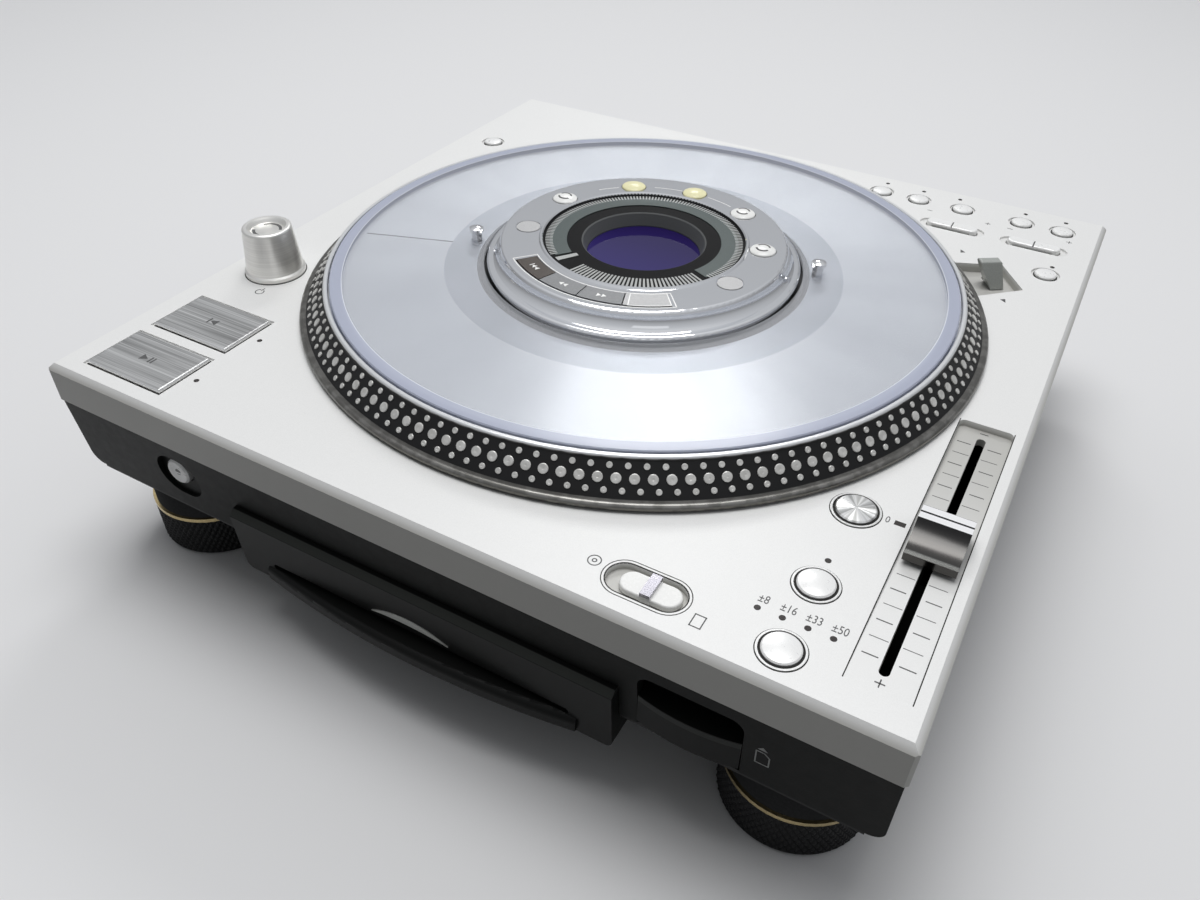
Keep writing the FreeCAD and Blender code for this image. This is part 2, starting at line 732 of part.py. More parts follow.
def make_loader_housing():
    body = new_body("loader_housing")
    half = housing_width / 2
    bevel = 2.3
    block = sketch_on(body, "housing_side", "YZ_Plane", -half)
    outline(block, [(housing_front + housing_lean, housing_bottom), (housing_back, housing_bottom),
                    (housing_back, housing_top), (housing_front + bevel, housing_top),
                    (housing_front, housing_top - bevel)])
    pad(body, block, half * 2)
    soften(body, "Fillet", 3.0, lambda point: near(point.z, housing_bottom) and near(abs(point.x), half))
    lip_height = 5.6
    lip = sketch_on(body, "housing_lip", lift=slot_bottom - lip_height)
    half_lip = lip_width / 2
    bow = (half_lip * half_lip / lip_reach + lip_reach) / 2
    root = housing_front + housing_lean + 1
    outline(lip, [(-half_lip, root), (-half_lip, housing_front), (half_lip, housing_front),
                  (half_lip, root)], {1: bow})
    pad(body, lip, lip_height)
    soften(body, "Fillet", 2.4, lambda point: near(point.z, slot_bottom)
           and point.y < housing_front.value + 0.01)
    middle = (housing_front + housing_back) / 2
    inside = sketch_on(body, "housing_inside", lift=housing_bottom + 1.6)
    rectangle(inside, 0, middle + housing_lean / 2, housing_width - housing_wall * 2,
              housing_back - housing_front - housing_lean - housing_wall * 2)
    pocket(body, inside, housing_top - housing_bottom, upwards=True)
    slot = sketch_on(body, "disc_slot", "XZ_Plane", -housing_front + lip_reach)
    long_hole(slot, 0, slot_bottom + slot_height / 2, slot_width, slot_height)
    pocket(body, slot, lip_reach + housing_lean + housing_wall + 1)
    relief = sketch_on(body, "trim_seat", "XZ_Plane", -housing_front)
    crescent(relief, 1.2, 4.3)
    pocket(body, relief, 1.7)
    ears = sketch_on(body, "housing_ears", lift=case_bottom)
    for side in (-1, 1):
        rectangle(ears, (half + 3) * side, -80, 6.4, 110)
    pad(body, ears, 1.6)
    return body


def make_slot_trim():
    body = new_body("slot_trim")
    shape = sketch_on(body, "trim_shape", "XZ_Plane", -housing_front - 0.4)
    crescent(shape, 1.3, 4.2)
    pad(body, shape, 1.3, upwards=False)
    return body


# Card socket: a bowed fascia with the card's mouth behind its upper edge


def make_card_socket():
    body = new_body("card_socket")
    half = card_width / 2 - 0.2
    face = case_front + case_lean * 0.6
    bow_rise = 2.0
    bow = (half * half / bow_rise + bow_rise) / 2
    fascia = sketch_on(body, "socket_fascia", lift=case_bottom + 3)
    left, right = card_x - half, card_x + half
    outline(fascia, [(left, face), (right, face), (right, face + 12), (left, face + 12)], {0: bow})
    pad(body, fascia, fascia_top - case_bottom - 3)
    block = sketch_on(body, "socket_block", lift=case_bottom + 3)
    rectangle(block, card_x, face + 17, half * 2, 18)
    pad(body, block, card_top - case_bottom - 3.4)
    mouth = sketch_on(body, "card_mouth", "XZ_Plane", -face)
    rectangle(mouth, card_x, 59.0, 24.6, 2.7)
    pocket(body, mouth, 22)
    return body


# Keys


def make_square_key(label, x, y):
    body = new_body(label)
    cap = sketch_on(body, label + "_cap", lift=plate_under - 0.4)
    rectangle(cap, x, y, square_key_width, square_key_depth)
    pad(body, cap, plate_thickness + 0.4 + 0.9)
    soften(body, "Fillet", 0.7, lambda point: near(point.z, panel_top + 0.9))
    flange = sketch_on(body, label + "_flange", lift=plate_under - 2)
    rectangle(flange, x, y, square_key_width + 3, square_key_depth + 3)
    pad(body, flange, 1.6)
    return body


def make_round_key(label, x, y, radius, rise, dome, flange=1.6):
    """Turn a round key: flange under the plate, straight side, bevel and a shallow dome."""
    low = plate_under - 2
    crown = panel_top + rise
    side = radius - 0.4
    arch = (side * side / dome + dome) / 2
    body = turned_body(label, [(0, low), (radius + flange, low), (radius + flange, low + 1.6),
                               (radius, low + 1.6), (radius, crown - 0.4), (side, crown),
                               (0, crown + dome)], {5: arch})
    return place(body, x, y)


def make_rocker(label, x, y):
    """Make a pill shaped key that tips about two pins, seated in notches under the plate."""
    body = new_body(label)
    cap = sketch_on(body, label + "_cap", lift=panel_top - 4.6)
    long_hole(cap, x, y, rocker_length, rocker_width)
    pad(body, cap, 6.0)
    soften(body, "Fillet", 0.8, lambda point: near(point.z, panel_top + 1.4))
    groove = sketch_on(body, label + "_groove", lift=panel_top + 1.4)
    rectangle(groove, x, y, 0.6, rocker_width)
    pocket(body, groove, 0.5)
    stem = sketch_on(body, label + "_stem", lift=panel_top - 8.6)
    rectangle(stem, x, y, 5, 3.4)
    pad(body, stem, 4.0)
    pin_length = rocker_width + 3.6
    pins = sketch_on(body, label + "_pins", "XZ_Plane", pin_length / 2 - y)
    circle(pins, x, rocker_pin_height, rocker_pin_radius)
    pad(body, pins, pin_length, upwards=False)
    return body


def make_button_rings():
    pieces = []
    for number, (name, (x, y)) in enumerate(ringed_keys.items()):
        radius = reset_key_radius if name == "reset_button" else ringed_key_radius
        outer = rod("ring_rim_%d" % number, radius + key_gap + ring_margin, (x, y, top - 0.8), 1.1)
        inner = rod("ring_hole_%d" % number, radius + key_gap, (x, y, top - 0.8), 1.1)
        pieces.append(without("button_ring_%d" % number, outer, [inner]))
    return grouped("button_rings", pieces)


def make_top_keys():
    for label, (x, y) in square_keys.items():
        make_square_key(label, x, y)
    make_round_key("reset_button", *ringed_keys["reset_button"], reset_key_radius, 1.0, 0.2)
    make_round_key("lock_button", *ringed_keys["lock_button"], ringed_key_radius, 1.1, 0.5)
    make_round_key("range_button", *ringed_keys["range_button"], ringed_key_radius, 1.1, 0.5)
    for label, (x, y) in dimple_keys.items():
        make_round_key(label, x, y, dimple_key_radius, 0.7, 0.4, 1.0)
    for label, (x, y) in rocker_keys.items():
        make_rocker(label, x, y)
    make_button_rings()


def make_eject_button():
    """Turn the eject button on its side, with a retaining flange behind the front wall."""
    radius = eject_radius
    reach = 6.2
    body = turned_body("eject_button", [
        (0, 0), (radius + 1.6, 0), (radius + 1.6, 1.6), (radius, 1.6), (radius, reach - 0.7),
        (radius - 0.7, reach), (radius - 1.5, reach), (0, reach - 0.5)],
        {6: -(radius * radius + 1.0)})
    body.Placement = Placement(Vector(), Rotation(Vector(1, 0, 0), 90))
    return place(body, eject_x, front_wall_inside + 2.1, eject_z)


# Fader, selector, lever and knob


def make_pitch_fader():
    """Make the fader cap: a deep concave front, a flat index band and a blade stem."""
    body = new_body("pitch_fader")
    width = 15.7
    side = sketch_on(body, "fader_side", "YZ_Plane", fader_x - width / 2)
    y, z = fader_cap_y, panel_top + 0.7
    outline(side, [(y - 10.4, z), (y + 10.4, z), (y + 10.0, z + 1.6), (y + 9.0, z + 6.0),
                   (y + 2.0, z + 6.8), (y - 9.0, z + 2.9), (y - 10.4, z + 2.7)], {4: -17})
    pad(body, side, width)
    stem = sketch_on(body, "fader_stem", lift=panel_top - 14)
    rectangle(stem, fader_x - 0.2, fader_cap_y, 2.0, 5)
    pad(body, stem, 15.5)
    return body


def make_selector_slider():
    """Make the two sided slider with a raised grip bar and a stem through the panel."""
    body = new_body("selector_slider")
    x = selector_x + selector_travel / 2 - 0.3
    low = panel_top - 1.8
    plate = sketch_on(body, "selector_plate", lift=low)
    long_hole(plate, x, selector_y, 19.2, 8.2)
    pad(body, plate, 1.9)
    soften(body, "Fillet", 0.7, lambda point: near(point.z, low + 1.9))
    grip = sketch_on(body, "selector_grip", lift=low)
    rectangle(grip, x, selector_y, 3.2, 8.6)
    pad(body, grip, 3.4)
    stem = sketch_on(body, "selector_stem", lift=panel_top - 10)
    rectangle(stem, x, selector_y, 4.4, 3.0)
    pad(body, stem, 8.4)
    return body


def make_direction_lever():
    """Make the lever's paddle, leaning inwards from a foot that hides the slot of its stem."""
    body = new_body("direction_lever")
    depth = 8.2
    front = lever_stem_side - 6
    foot, crown = panel_top - lever_recess_depth + 0.4, panel_top + lever_rise
    side = sketch_on(body, "lever_side", "XZ_Plane", -front)
    outline(side, [(148.3, foot), (154.0, foot), (152.0, crown), (142.6, crown)])
    pad(body, side, depth, upwards=False)
    slope = sketch_on(body, "lever_slope", "YZ_Plane", 142)
    outline(slope, [(front, foot), (front + 3.8, crown + 0.1), (front - 0.2, crown + 0.1), (front - 0.2, foot)])
    pocket(body, slope, 13, upwards=True)
    soften(body, "Fillet", 0.8, lambda point: near(point.z, crown))
    stem = sketch_on(body, "lever_stem", lift=panel_top - 12)
    rectangle(stem, lever_stem_radius, lever_stem_side, 3.2, 3.6)
    pad(body, stem, 12.4 - lever_recess_depth)
    body.Placement = Placement(Vector(), Rotation(Vector(0, 0, 1), lever_angle))
    return place(body, 0, platter_y)


def make_power_knob():
    """Turn the tapering knob with its foot flange, rolled rim and sunken crown."""
    base = panel_top + 0.35
    crown = panel_top + knob_height
    body = turned_body("power_knob", [
        (0, base - 9), (4, base - 9), (4, base), (knob_radius, base), (knob_radius, base + 1.4),
        (knob_radius - 0.7, base + 2.1), (9.9, crown - 1.0), (8.9, crown), (7.9, crown),
        (7.4, crown - 0.6), (6.6, crown - 1.8), (0, crown - 1.8)], {6: 1.05})
    return place(body, knob_x, knob_y)


# Platter group


def make_platter():
    """Turn the platter: bearing sleeve, web, sunken seat, sloping dotted rim and lower lip."""
    z = top
    body = turned_body("platter", [
        (post_radius + 0.06, z - 15.5), (21, z - 15.5), (21, z + 5), (121, z + 5), (132, z + 0.7),
        (platter_radius - 0.5, z + 0.7), (platter_radius, z + 1.2), (platter_radius, z + 1.9),
        (platter_radius - 1.5, z + 3.1), (platter_radius - 2.6, z + 3.1),
        (disc_radius + 2.7, z + rim_height - 1.7), (disc_radius + 2.5, z + rim_height - 0.6),
        (disc_radius + 1.8, z + rim_height), (disc_radius + 1.0, z + rim_height),
        (disc_radius + 0.7, z + rim_height - 0.3), (disc_radius + 0.7, z + platter_seat),
        (66.0, z + platter_seat), (64.8, z + platter_seat - 1.2), (64.8, z + 9),
        (post_radius + 0.06, z + 9)], {7: 1.6, 11: 0.9})
    return place(body, 0, platter_y)


def make_rotor_magnet():
    body = turned_body("rotor_magnet", [(88, top - 9), (97, top - 9), (97, top + 5), (88, top + 5)])
    return place(body, 0, platter_y)


pin_angle = 19


def pin_holes(body, label, height, depth):
    """Drill the two holes for the locating pins."""
    holes = sketch_on(body, label + "_pin_holes", lift=height)
    for turn in (0, 180):
        circle(holes, *polar(pin_circle, pin_angle + turn), 2.6)
    pocket(body, holes, depth)


def make_mats():
    """Lay the slipmat on the seat and the clear disc on the slipmat."""
    seat = top + platter_seat
    low = seat + 1.2
    mat = turned_body("slipmat", [(66.8, seat), (disc_radius - 2, seat),
                                  (disc_radius - 2, low), (66.8, low)])
    pin_holes(mat, "slipmat", low, 1.2)
    place(mat, 0, platter_y)
    disc = turned_body("clear_disc", [(disc_bore, low), (disc_radius, low), (disc_radius, low + 1.6),
                                      (disc_radius - 0.4, low + 2.0), (80, low + 2.0),
                                      (79.7, low + 1.8), (disc_bore, low + 1.8)])
    pin_holes(disc, "clear_disc", low + 2.0, 2.0)
    place(disc, 0, platter_y)


def make_locating_pins():
    """Turn two waisted pins with domed heads that key the disc to the platter."""
    pins = []
    for number, turn in enumerate((0, 180)):
        shank = rod("pin_shank_%d" % number, 2.1, (0, 0, 0), 6.2)
        neck = doc.addObject("Part::Cone", "pin_neck_%d" % number)
        neck.Radius1 = 2.1
        neck.Radius2 = 2.9
        neck.Height = 0.8
        place(neck, 0, 0, 6.2)
        head = rod("pin_head_%d" % number, 2.9, (0, 0, 7.0), 1.3)
        dome = doc.addObject("Part::Sphere", "pin_dome_%d" % number)
        dome.Radius = 5.0
        dome.Angle1 = 54.6
        place(dome, 0, 0, 8.3 - 4.2)
        pin_solid = fused("locating_pin_%d" % number, [shank, neck, head, dome])
        x, y = polar(pin_circle, pin_angle + turn)
        pins.append(place(pin_solid, x, y + platter_y, top + platter_seat))
    return grouped("locating_pins", pins)


# Motor: pan, the fixed hollow post in its floor, and the wound stator inside the magnet ring

post_bore = dimension("post_bore", 11, "bore of the hollow post")
post_flange = dimension("post_flange", 21, "flange of the hollow post")
pan_low = dimension("pan_low", 22, "underside of the motor pan below the panel's face")


def make_motor_pan():
    """Turn the pan, whose rim stands against the underside of the panel."""
    z = top
    body = turned_body("motor_pan", [
        (post_flange, z - pan_low), (103.5, z - pan_low), (103.5, z - plate_thickness),
        (101, z - plate_thickness), (101, z - 19.5), (post_flange, z - 19.5)])
    return place(body, 0, platter_y)


def make_bearing_post():
    """Turn the hollow post that the platter turns on and the hub stands on."""
    z = top
    body = turned_body("bearing_post", [
        (post_bore, z - pan_low), (post_flange, z - pan_low), (post_flange, z - 16),
        (post_radius, z - 16), (post_radius, z + 12.2), (post_bore, z + 12.2)])
    return place(body, 0, platter_y)


def make_motor_stator():
    """Make twelve wound teeth on a ring: wide coils with narrower pole tips."""
    body = new_body("motor_stator")
    floor = panel_top - 19.5
    ring = sketch_on(body, "stator_ring", lift=floor)
    circle(ring, 0, 0, 54)
    circle(ring, 0, 0, 40)
    pad(body, ring, 9)
    tooth = sketch_on(body, "stator_tooth", lift=floor)
    outline(tooth, [(50, -9), (74, -9), (74, -5), (80, -5), (80, -10), (84, -10),
                    (84, 10), (80, 10), (80, 5), (74, 5), (74, 9), (50, 9)])
    around(body, pad(body, tooth, 11), 12)
    return place(body, 0, platter_y)


# Hub: a fixed chromed dish in the middle of the turning platter


def make_hub_base():
    z = top
    body = turned_body("hub_base", [(post_bore, z + 12.2), (60.3, z + 12.2),
                                    (60.3, z + 13.7), (post_bore, z + 13.7)])
    return place(body, 0, platter_y)


key_arc_start, key_arc_end = -128.4, -51.6
key_arc_inner = dimension("key_arc_inner", 45.4, "inner edge of the four sector keys")
key_arc_outer = dimension("key_arc_outer", 53.4, "outer edge of the four sector keys")
ring_key_angles = (163, 123, 90, 57, 17)
blank_angles = (-20, -160)


def sector(sketch, inner, outer, start, end):
    """Draw a ring sector between two angles."""
    outline(sketch, [polar(inner, start), polar(outer, start), polar(outer, end), polar(inner, end)],
            {1: outer, 3: -inner})


def make_hub_shell():
    """Turn the chromed hub: lip, concave cove, flat key ring and the bead round the display."""
    z = top
    body = turned_body("hub_shell", [
        (60.5, z + 12.0), (hub_radius - 0.4, z + 12.0), (hub_radius, z + 12.4),
        (hub_radius, z + 14.4), (hub_radius - 1.2, z + 15.6), (60.2, z + 15.8), (57.5, z + 21.2),
        (57.2, z + 21.8), (56.2, z + hub_top), (41.9, z + hub_top), (41.4, z + hub_top + 0.6),
        (hub_bore + 0.4, z + hub_top + 0.6), (hub_bore, z + hub_top + 0.1), (hub_bore, z + 14.9),
        (hub_bore + 1.2, z + 14.9), (hub_bore + 1.2, z + 20.4), (55.0, z + 20.4),
        (56.2, z + 18.6), (58.6, z + 13.7), (60.5, z + 13.7)], {3: 1.2, 5: -6.5, 7: 1.2})
    holes = sketch_on(body, "hub_key_holes", lift=z + hub_top)
    for angle in ring_key_angles:
        circle(holes, *polar(ring_key_circle, angle), ring_key_radius + 0.3)
    sector(holes, key_arc_inner - 0.4, key_arc_outer + 0.4, key_arc_start, key_arc_end)
    pocket(body, holes, 3)
    blanks = sketch_on(body, "hub_blank_recesses", lift=z + hub_top)
    for angle in blank_angles:
        circle(blanks, *polar(ring_key_circle, angle), ring_key_radius + 0.2)
    pocket(body, blanks, 0.6)
    return place(body, 0, platter_y)


def make_hub_keys():
    """Make the hub's five domed round keys and four sector keys, each held by a flange."""
    crown = panel_top + hub_top
    flange_low, flange_high = crown - 4.4, crown - 2.8
    foot = crown - 7.6
    side = ring_key_radius - 0.3
    dome = 1.1
    arch = (side * side / dome + dome) / 2
    for number, angle in enumerate(ring_key_angles, 1):
        body = turned_body("hub_button_%d" % number, [
            (0, foot), (2, foot), (2, flange_low), (ring_key_radius + 0.5, flange_low),
            (ring_key_radius + 0.5, flange_high), (ring_key_radius, flange_high),
            (ring_key_radius, crown + 0.3), (side, crown + 0.6), (0, crown + 0.6 + dome)],
            {7: arch})
        x, y = polar(ring_key_circle, angle)
        place(body, x, y + platter_y)
    gap = 0.5
    span = (key_arc_end - key_arc_start - gap) / 4
    for number in range(4):
        start = key_arc_start + gap + number * span
        end = start + span - gap
        label = "sector_button_%d" % (number + 1)
        body = new_body(label)
        cap = sketch_on(body, label + "_cap", lift=flange_low)
        sector(cap, key_arc_inner, key_arc_outer, start, end)
        pad(body, cap, crown + 0.3 - flange_low)
        flange = sketch_on(body, label + "_flange", lift=flange_low)
        sector(flange, key_arc_inner - 0.9, key_arc_outer + 0.9, start, end)
        pad(body, flange, flange_high - flange_low)
        stem = sketch_on(body, label + "_stem", lift=foot)
        circle(stem, *polar((key_arc_inner + key_arc_outer) / 2, (start + end) / 2), 2)
        pad(body, stem, flange_low - foot)
        place(body, 0, platter_y)


def make_display():
    """Turn the black bezel with its conical well, and the display glass at the well's foot."""
    z = top
    bezel = turned_body("display_bezel", [
        (22.8, z + 13.7), (24.6, z + 13.7), (24.6, z + 15.6), (26.6, z + 19.9), (37.8, z + 19.9),
        (37.8, z + 13.7), (hub_bore - 0.1, z + 13.7), (hub_bore - 0.1, z + 21.8),
        (24.9, z + 21.4), (24.4, z + 21.0), (22.8, z + 16.4)])
    place(bezel, 0, platter_y)
    glass = turned_body("display_glass", [(0, z + 13.7), (22.7, z + 13.7), (22.7, z + 16.0),
                                          (0, z + 16.0)])
    return place(glass, 0, platter_y)


# Disc loader inside the block


def make_loader_chassis():
    """Make the steel loader frame: floor, side cheeks, rod brackets and the spindle motor."""
    floor_low = housing_bottom + 1.6
    floor_high = floor_low + 1.0
    floor = box("chassis_floor", (-71.2, 71.2), (-157, -9), (floor_low, floor_high))
    window = box("roller_window", (-63, 63), (roller_y - 4, roller_y + 4), (floor_low, floor_high))
    pieces = [without("chassis_floor_cut", floor, [window])]
    for name, x in (("left_cheek", -71.2), ("right_cheek", 70)):
        pieces.append(box(name, (x, x + 1.2), (-157, -9), (floor_low, 46)))
    for name, y in (("rod_bracket_front", -72.5), ("rod_bracket_back", -13)):
        pieces.append(box(name, (-24, 24), (y, y + 1.6), (floor_low, 33.6)))
    for name, x in (("guide_rod_left", -19), ("guide_rod_right", 19)):
        pieces.append(rod(name, 1.2, (x, -72, 31.5), 60, "y"))
    pieces.append(rod("spindle_motor", 12, (0, spindle_y, floor_low), 32.4 - floor_low))
    frame = fused("chassis_frame", pieces)
    shafts = [rod("roller_shaft_hole", 1.28, (-72, roller_y, roller_z), 144, "x"),
              rod("arm_axle_hole", 1.58, (-72, -14, 41), 144, "x"),
              rod("gear_shaft_hole", 1.58, (69, gear_y, gear_z), 3, "x"),
              rod("spindle_hole", 1.58, (0, spindle_y, floor_low + 1), 5)]
    return keep(without("chassis_cut", frame, shafts), "loader_chassis")


gear_module = 0.5
roller_teeth = 12
drive_teeth = 30
gear_z = dimension("gear_z", 36.9, "height of the drive gear's axis")
gear_y = dimension("gear_y", -140.45, "drive gear's axis, in mesh with the roller's gear")


def make_gear(label, teeth, thickness, shaft, turn):
    """Make a spur gear on its side, with straight flanked teeth and one tooth pointing at turn."""
    body = new_body(label)
    pitch = gear_module * teeth / 2
    root = pitch - 0.62
    blank = sketch_on(body, label + "_blank")
    circle(blank, 0, 0, root)
    pad(body, blank, thickness)
    tooth = sketch_on(body, label + "_tooth")
    outline(tooth, [(root - 0.3, -0.42), (pitch, -0.29), (pitch + 0.42, -0.15),
                    (pitch + 0.42, 0.15), (pitch, 0.29), (root - 0.3, 0.42)])
    around(body, pad(body, tooth, thickness), teeth)
    axle = sketch_on(body, label + "_axle")
    circle(axle, 0, 0, shaft[0])
    pad(body, axle, shaft[1], upwards=False)
    body.Placement = Placement(Vector(), Rotation(Vector(0, 1, 0), 90) * Rotation(Vector(0, 0, 1), turn))
    return body


def make_feed():
    """Make the feed roller with its gear, and the motor's drive gear that turns it."""
    mesh_turn = math.degrees(math.atan2(gear_z.value - roller_z.value, gear_y.value - roller_y.value))
    body = make_gear("feed_roller", roller_teeth, 2.2, (1.2, 142), 90 + mesh_turn)
    rubber = sketch_on(body, "roller_rubber", lift=-12)
    circle(rubber, 0, 0, 2.1)
    pad(body, rubber, 119, upwards=False)
    place(body, 71.6, roller_y, roller_z)
    gear = make_gear("drive_gear", drive_teeth, 2.2, (1.5, 6),
                     90 + mesh_turn + 180 + 180 / drive_teeth)
    return place(gear, 71.6, gear_y, gear_z)


def make_loader_motor():
    """Make the flat gear motor on the inner side of the right cheek."""
    can = rod("motor_can", 7.2, (61.8, gear_y, gear_z), 8.2, "x")
    tab = box("motor_tab", (68.4, 70), (gear_y + 5, gear_y + 14), (gear_z, gear_z + 7))
    bore = rod("motor_bore", 1.58, (64.5, gear_y, gear_z), 6, "x")
    return keep(without("loader_motor_cut", fused("motor_body", [can, tab]), [bore]), "loader_motor")


def make_disc_drive():
    """Make the spindle's turntable with its centring cone, the laser sled and the clamp arm."""
    seat = 34.2
    table = turned_body("disc_turntable", [
        (0, 30.2), (1.5, 30.2), (1.5, 32.8), (13.1, 32.8), (13.1, seat), (7.4, seat),
        (7.4, seat + 0.6), (6.8, seat + 1.1), (0, seat + 1.1)])
    place(table, 0, spindle_y)
    carriage = box("sled_block", (-24, 24), (-69.5, -49.5), (30.0, 33.0))
    lens = rod("sled_lens", 3, (0, -60, 33.0), 0.8)
    left = rod("sled_bore_left", 1.28, (-19, -70, 31.5), 22, "y")
    right = rod("sled_bore_right", 1.28, (19, -70, 31.5), 22, "y")
    sled = without("pickup_sled_cut", fused("sled_whole", [carriage, lens]), [left, right])
    keep(sled, "pickup_sled")
    arm = box("arm_plate", (-12, 12), (spindle_y, -14), (40.4, 41.6))
    puck = rod("arm_puck", 13, (0, spindle_y, 38.3), 3.3)
    axle = rod("arm_axle", 1.5, (-70.8, -14, 41), 141.6, "x")
    keep(fused("clamp_arm_whole", [arm, puck, axle]), "clamp_arm")


# Boards, supply and rear connectors


def make_boards():
    """Make the main board and the power supply, each with stand-offs and its tall parts."""
    low = case_bottom
    board = box("main_board_plate", (-140, 62), (6, 96), (low + 6, low + 7.6))
    pieces = [board]
    for number, (x, y) in enumerate(((-134, 12), (56, 12), (-134, 90), (56, 90))):
        pieces.append(rod("board_stand_%d" % number, 3, (x, y, low), 6))
    for number, (x, y, size) in enumerate(((-90, 50, 24), (-40, 40, 18), (10, 60, 20))):
        pieces.append(box("chip_%d" % number, (x, x + size), (y, y + size), (low + 7.6, low + 9.8)))
    pieces.append(box("board_plug", (30, 54), (70, 78), (low + 7.6, low + 15)))
    main_board = fused("main_board", pieces)
    plate = box("supply_plate", (82, 138), (50, 140), (low + 6, low + 7.6))
    pieces = [plate]
    for number, (x, y) in enumerate(((86, 54), (134, 54), (86, 136), (134, 136))):
        pieces.append(rod("supply_stand_%d" % number, 3, (x, y, low), 6))
    pieces.append(box("transformer_core", (92, 128), (98, 130), (low + 7.6, low + 29)))
    pieces.append(rod("capacitor_a", 6, (96, 70, low + 7.6), 10))
    pieces.append(rod("capacitor_b", 6, (114, 70, low + 7.6), 10))
    grouped("circuit_boards", [main_board, fused("power_supply", pieces)])


jack_reach = dimension("jack_reach", 168.8, "outer end of the jacks, as far back as the lip is forward")


def make_rear_connectors():
    pieces = []
    for name, x in rear_jacks.items():
        barrel = rod(name + "_barrel", 4.15, (x, case_back - 9, jack_z), jack_reach - case_back + 9, "y")
        collar = rod(name + "_collar", 5.1, (x, case_back - case_wall, jack_z), case_wall + 1, "y")
        block = box(name + "_block", (x - 6, x + 6), (case_back - 15, case_back - case_wall),
                    (case_bottom + 2, jack_z + 6))
        whole = fused(name + "_whole", [barrel, collar, block])
        bore = rod(name + "_bore", 1.6, (x, case_back - 4, jack_z), 20, "y")
        pieces.append(without(name, whole, [bore]))
    grouped("rear_jack_set", pieces)
    x, z = inlet_x, jack_z
    shell = box("inlet_shell", (x - 11.8, x + 11.8), (case_back - 14, case_back + 1), (z - 8.3, z + 8.3))
    flange = box("inlet_flange", (x - 14, x + 14), (case_back, case_back + 1.4), (z - 10, z + 10))
    well = box("inlet_well", (x - 9, x + 9), (case_back - 11, case_back + 2), (z - 5.6, z + 5.6))
    blades = [box("inlet_blade_%d" % n, (x + dx - 0.8, x + dx + 0.8), (case_back - 12, case_back - 1),
                  (z - 1.8, z + 1.8)) for n, dx in enumerate((-4.2, 4.2))]
    hollow = without("inlet_hollow", fused("inlet_outer", [shell, flange]), [well])
    keep(fused("mains_inlet_whole", [hollow] + blades), "mains_inlet")


# Build, check and write


def make_everything():
    make_top_panel()
    make_lower_case()
    make_bottom_cover()
    make_cover_screws()
    make_feet()
    make_loader_housing()
    make_slot_trim()
    make_card_socket()
    make_top_keys()
    make_eject_button()
    make_pitch_fader()
    make_selector_slider()
    make_direction_lever()
    make_power_knob()
    make_platter()
    make_rotor_magnet()
    make_mats()
    make_locating_pins()
    make_motor_pan()
    make_bearing_post()
    make_motor_stator()
    make_hub_base()
    make_hub_shell()
    make_hub_keys()
    make_display()
    make_loader_chassis()
    make_feed()
    make_loader_motor()
    make_disc_drive()
    make_boards()
    make_rear_connectors()


def check_everything():
    """Stop before anything is written if an object failed or a sub-part isn't a sound solid."""
    doc.recompute()
    failed = [item.Name for item in doc.Objects if {"Invalid", "Error"} & set(item.State)]
    if failed:
        raise RuntimeError("failed: %s" % ", ".join(failed))
    for item in sub_parts:
        shape = item.Shape
        if shape.isNull() or not shape.isValid() or not shape.Solids:
            raise RuntimeError("%s has no sound solid" % item.Label)
        print("%-18s %d solids %10.1f mm3" % (item.Label, len(shape.Solids), shape.Volume))


def write_everything():
    os.makedirs("parts", exist_ok=True)
    for item in sub_parts:
        item.Shape.exportStep("parts/%s.step" % item.Label)
    print(len(sub_parts), "sub-parts written")


make_everything()
check_everything()
write_everything()
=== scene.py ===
"""Looks of the slot loading disc deck, piece by piece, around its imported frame.

Lengths are metres in the part's own frame: X to the right, Y to the back, Z up, the table at zero.
Flat signs are drawn in millimetres and made metres when their ribbons are built.
"""
import math

import bmesh
import bpy
import numpy as np
from mathutils import Matrix, Vector


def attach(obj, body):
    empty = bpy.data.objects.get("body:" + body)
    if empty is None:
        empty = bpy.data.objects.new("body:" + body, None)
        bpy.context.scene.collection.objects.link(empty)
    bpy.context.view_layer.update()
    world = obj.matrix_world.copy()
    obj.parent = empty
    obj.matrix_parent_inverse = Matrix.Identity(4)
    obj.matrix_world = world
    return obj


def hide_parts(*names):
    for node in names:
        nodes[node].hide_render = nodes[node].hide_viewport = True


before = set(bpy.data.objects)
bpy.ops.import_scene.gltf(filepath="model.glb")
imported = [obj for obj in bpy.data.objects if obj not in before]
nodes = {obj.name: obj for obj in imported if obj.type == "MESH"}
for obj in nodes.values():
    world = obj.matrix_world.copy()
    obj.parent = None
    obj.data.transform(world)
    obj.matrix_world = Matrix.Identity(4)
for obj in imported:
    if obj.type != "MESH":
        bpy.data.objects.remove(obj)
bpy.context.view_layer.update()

MM = 0.001


# Studio. The player stands on a plain pale floor under a soft pale sky, with a large lamp behind it,
# as a shop's ceiling has. The light that the sky and the floor shed is darker, and to the front most
# of all, but the eye, metal and glass see both pale. The camera has the picture's own place.

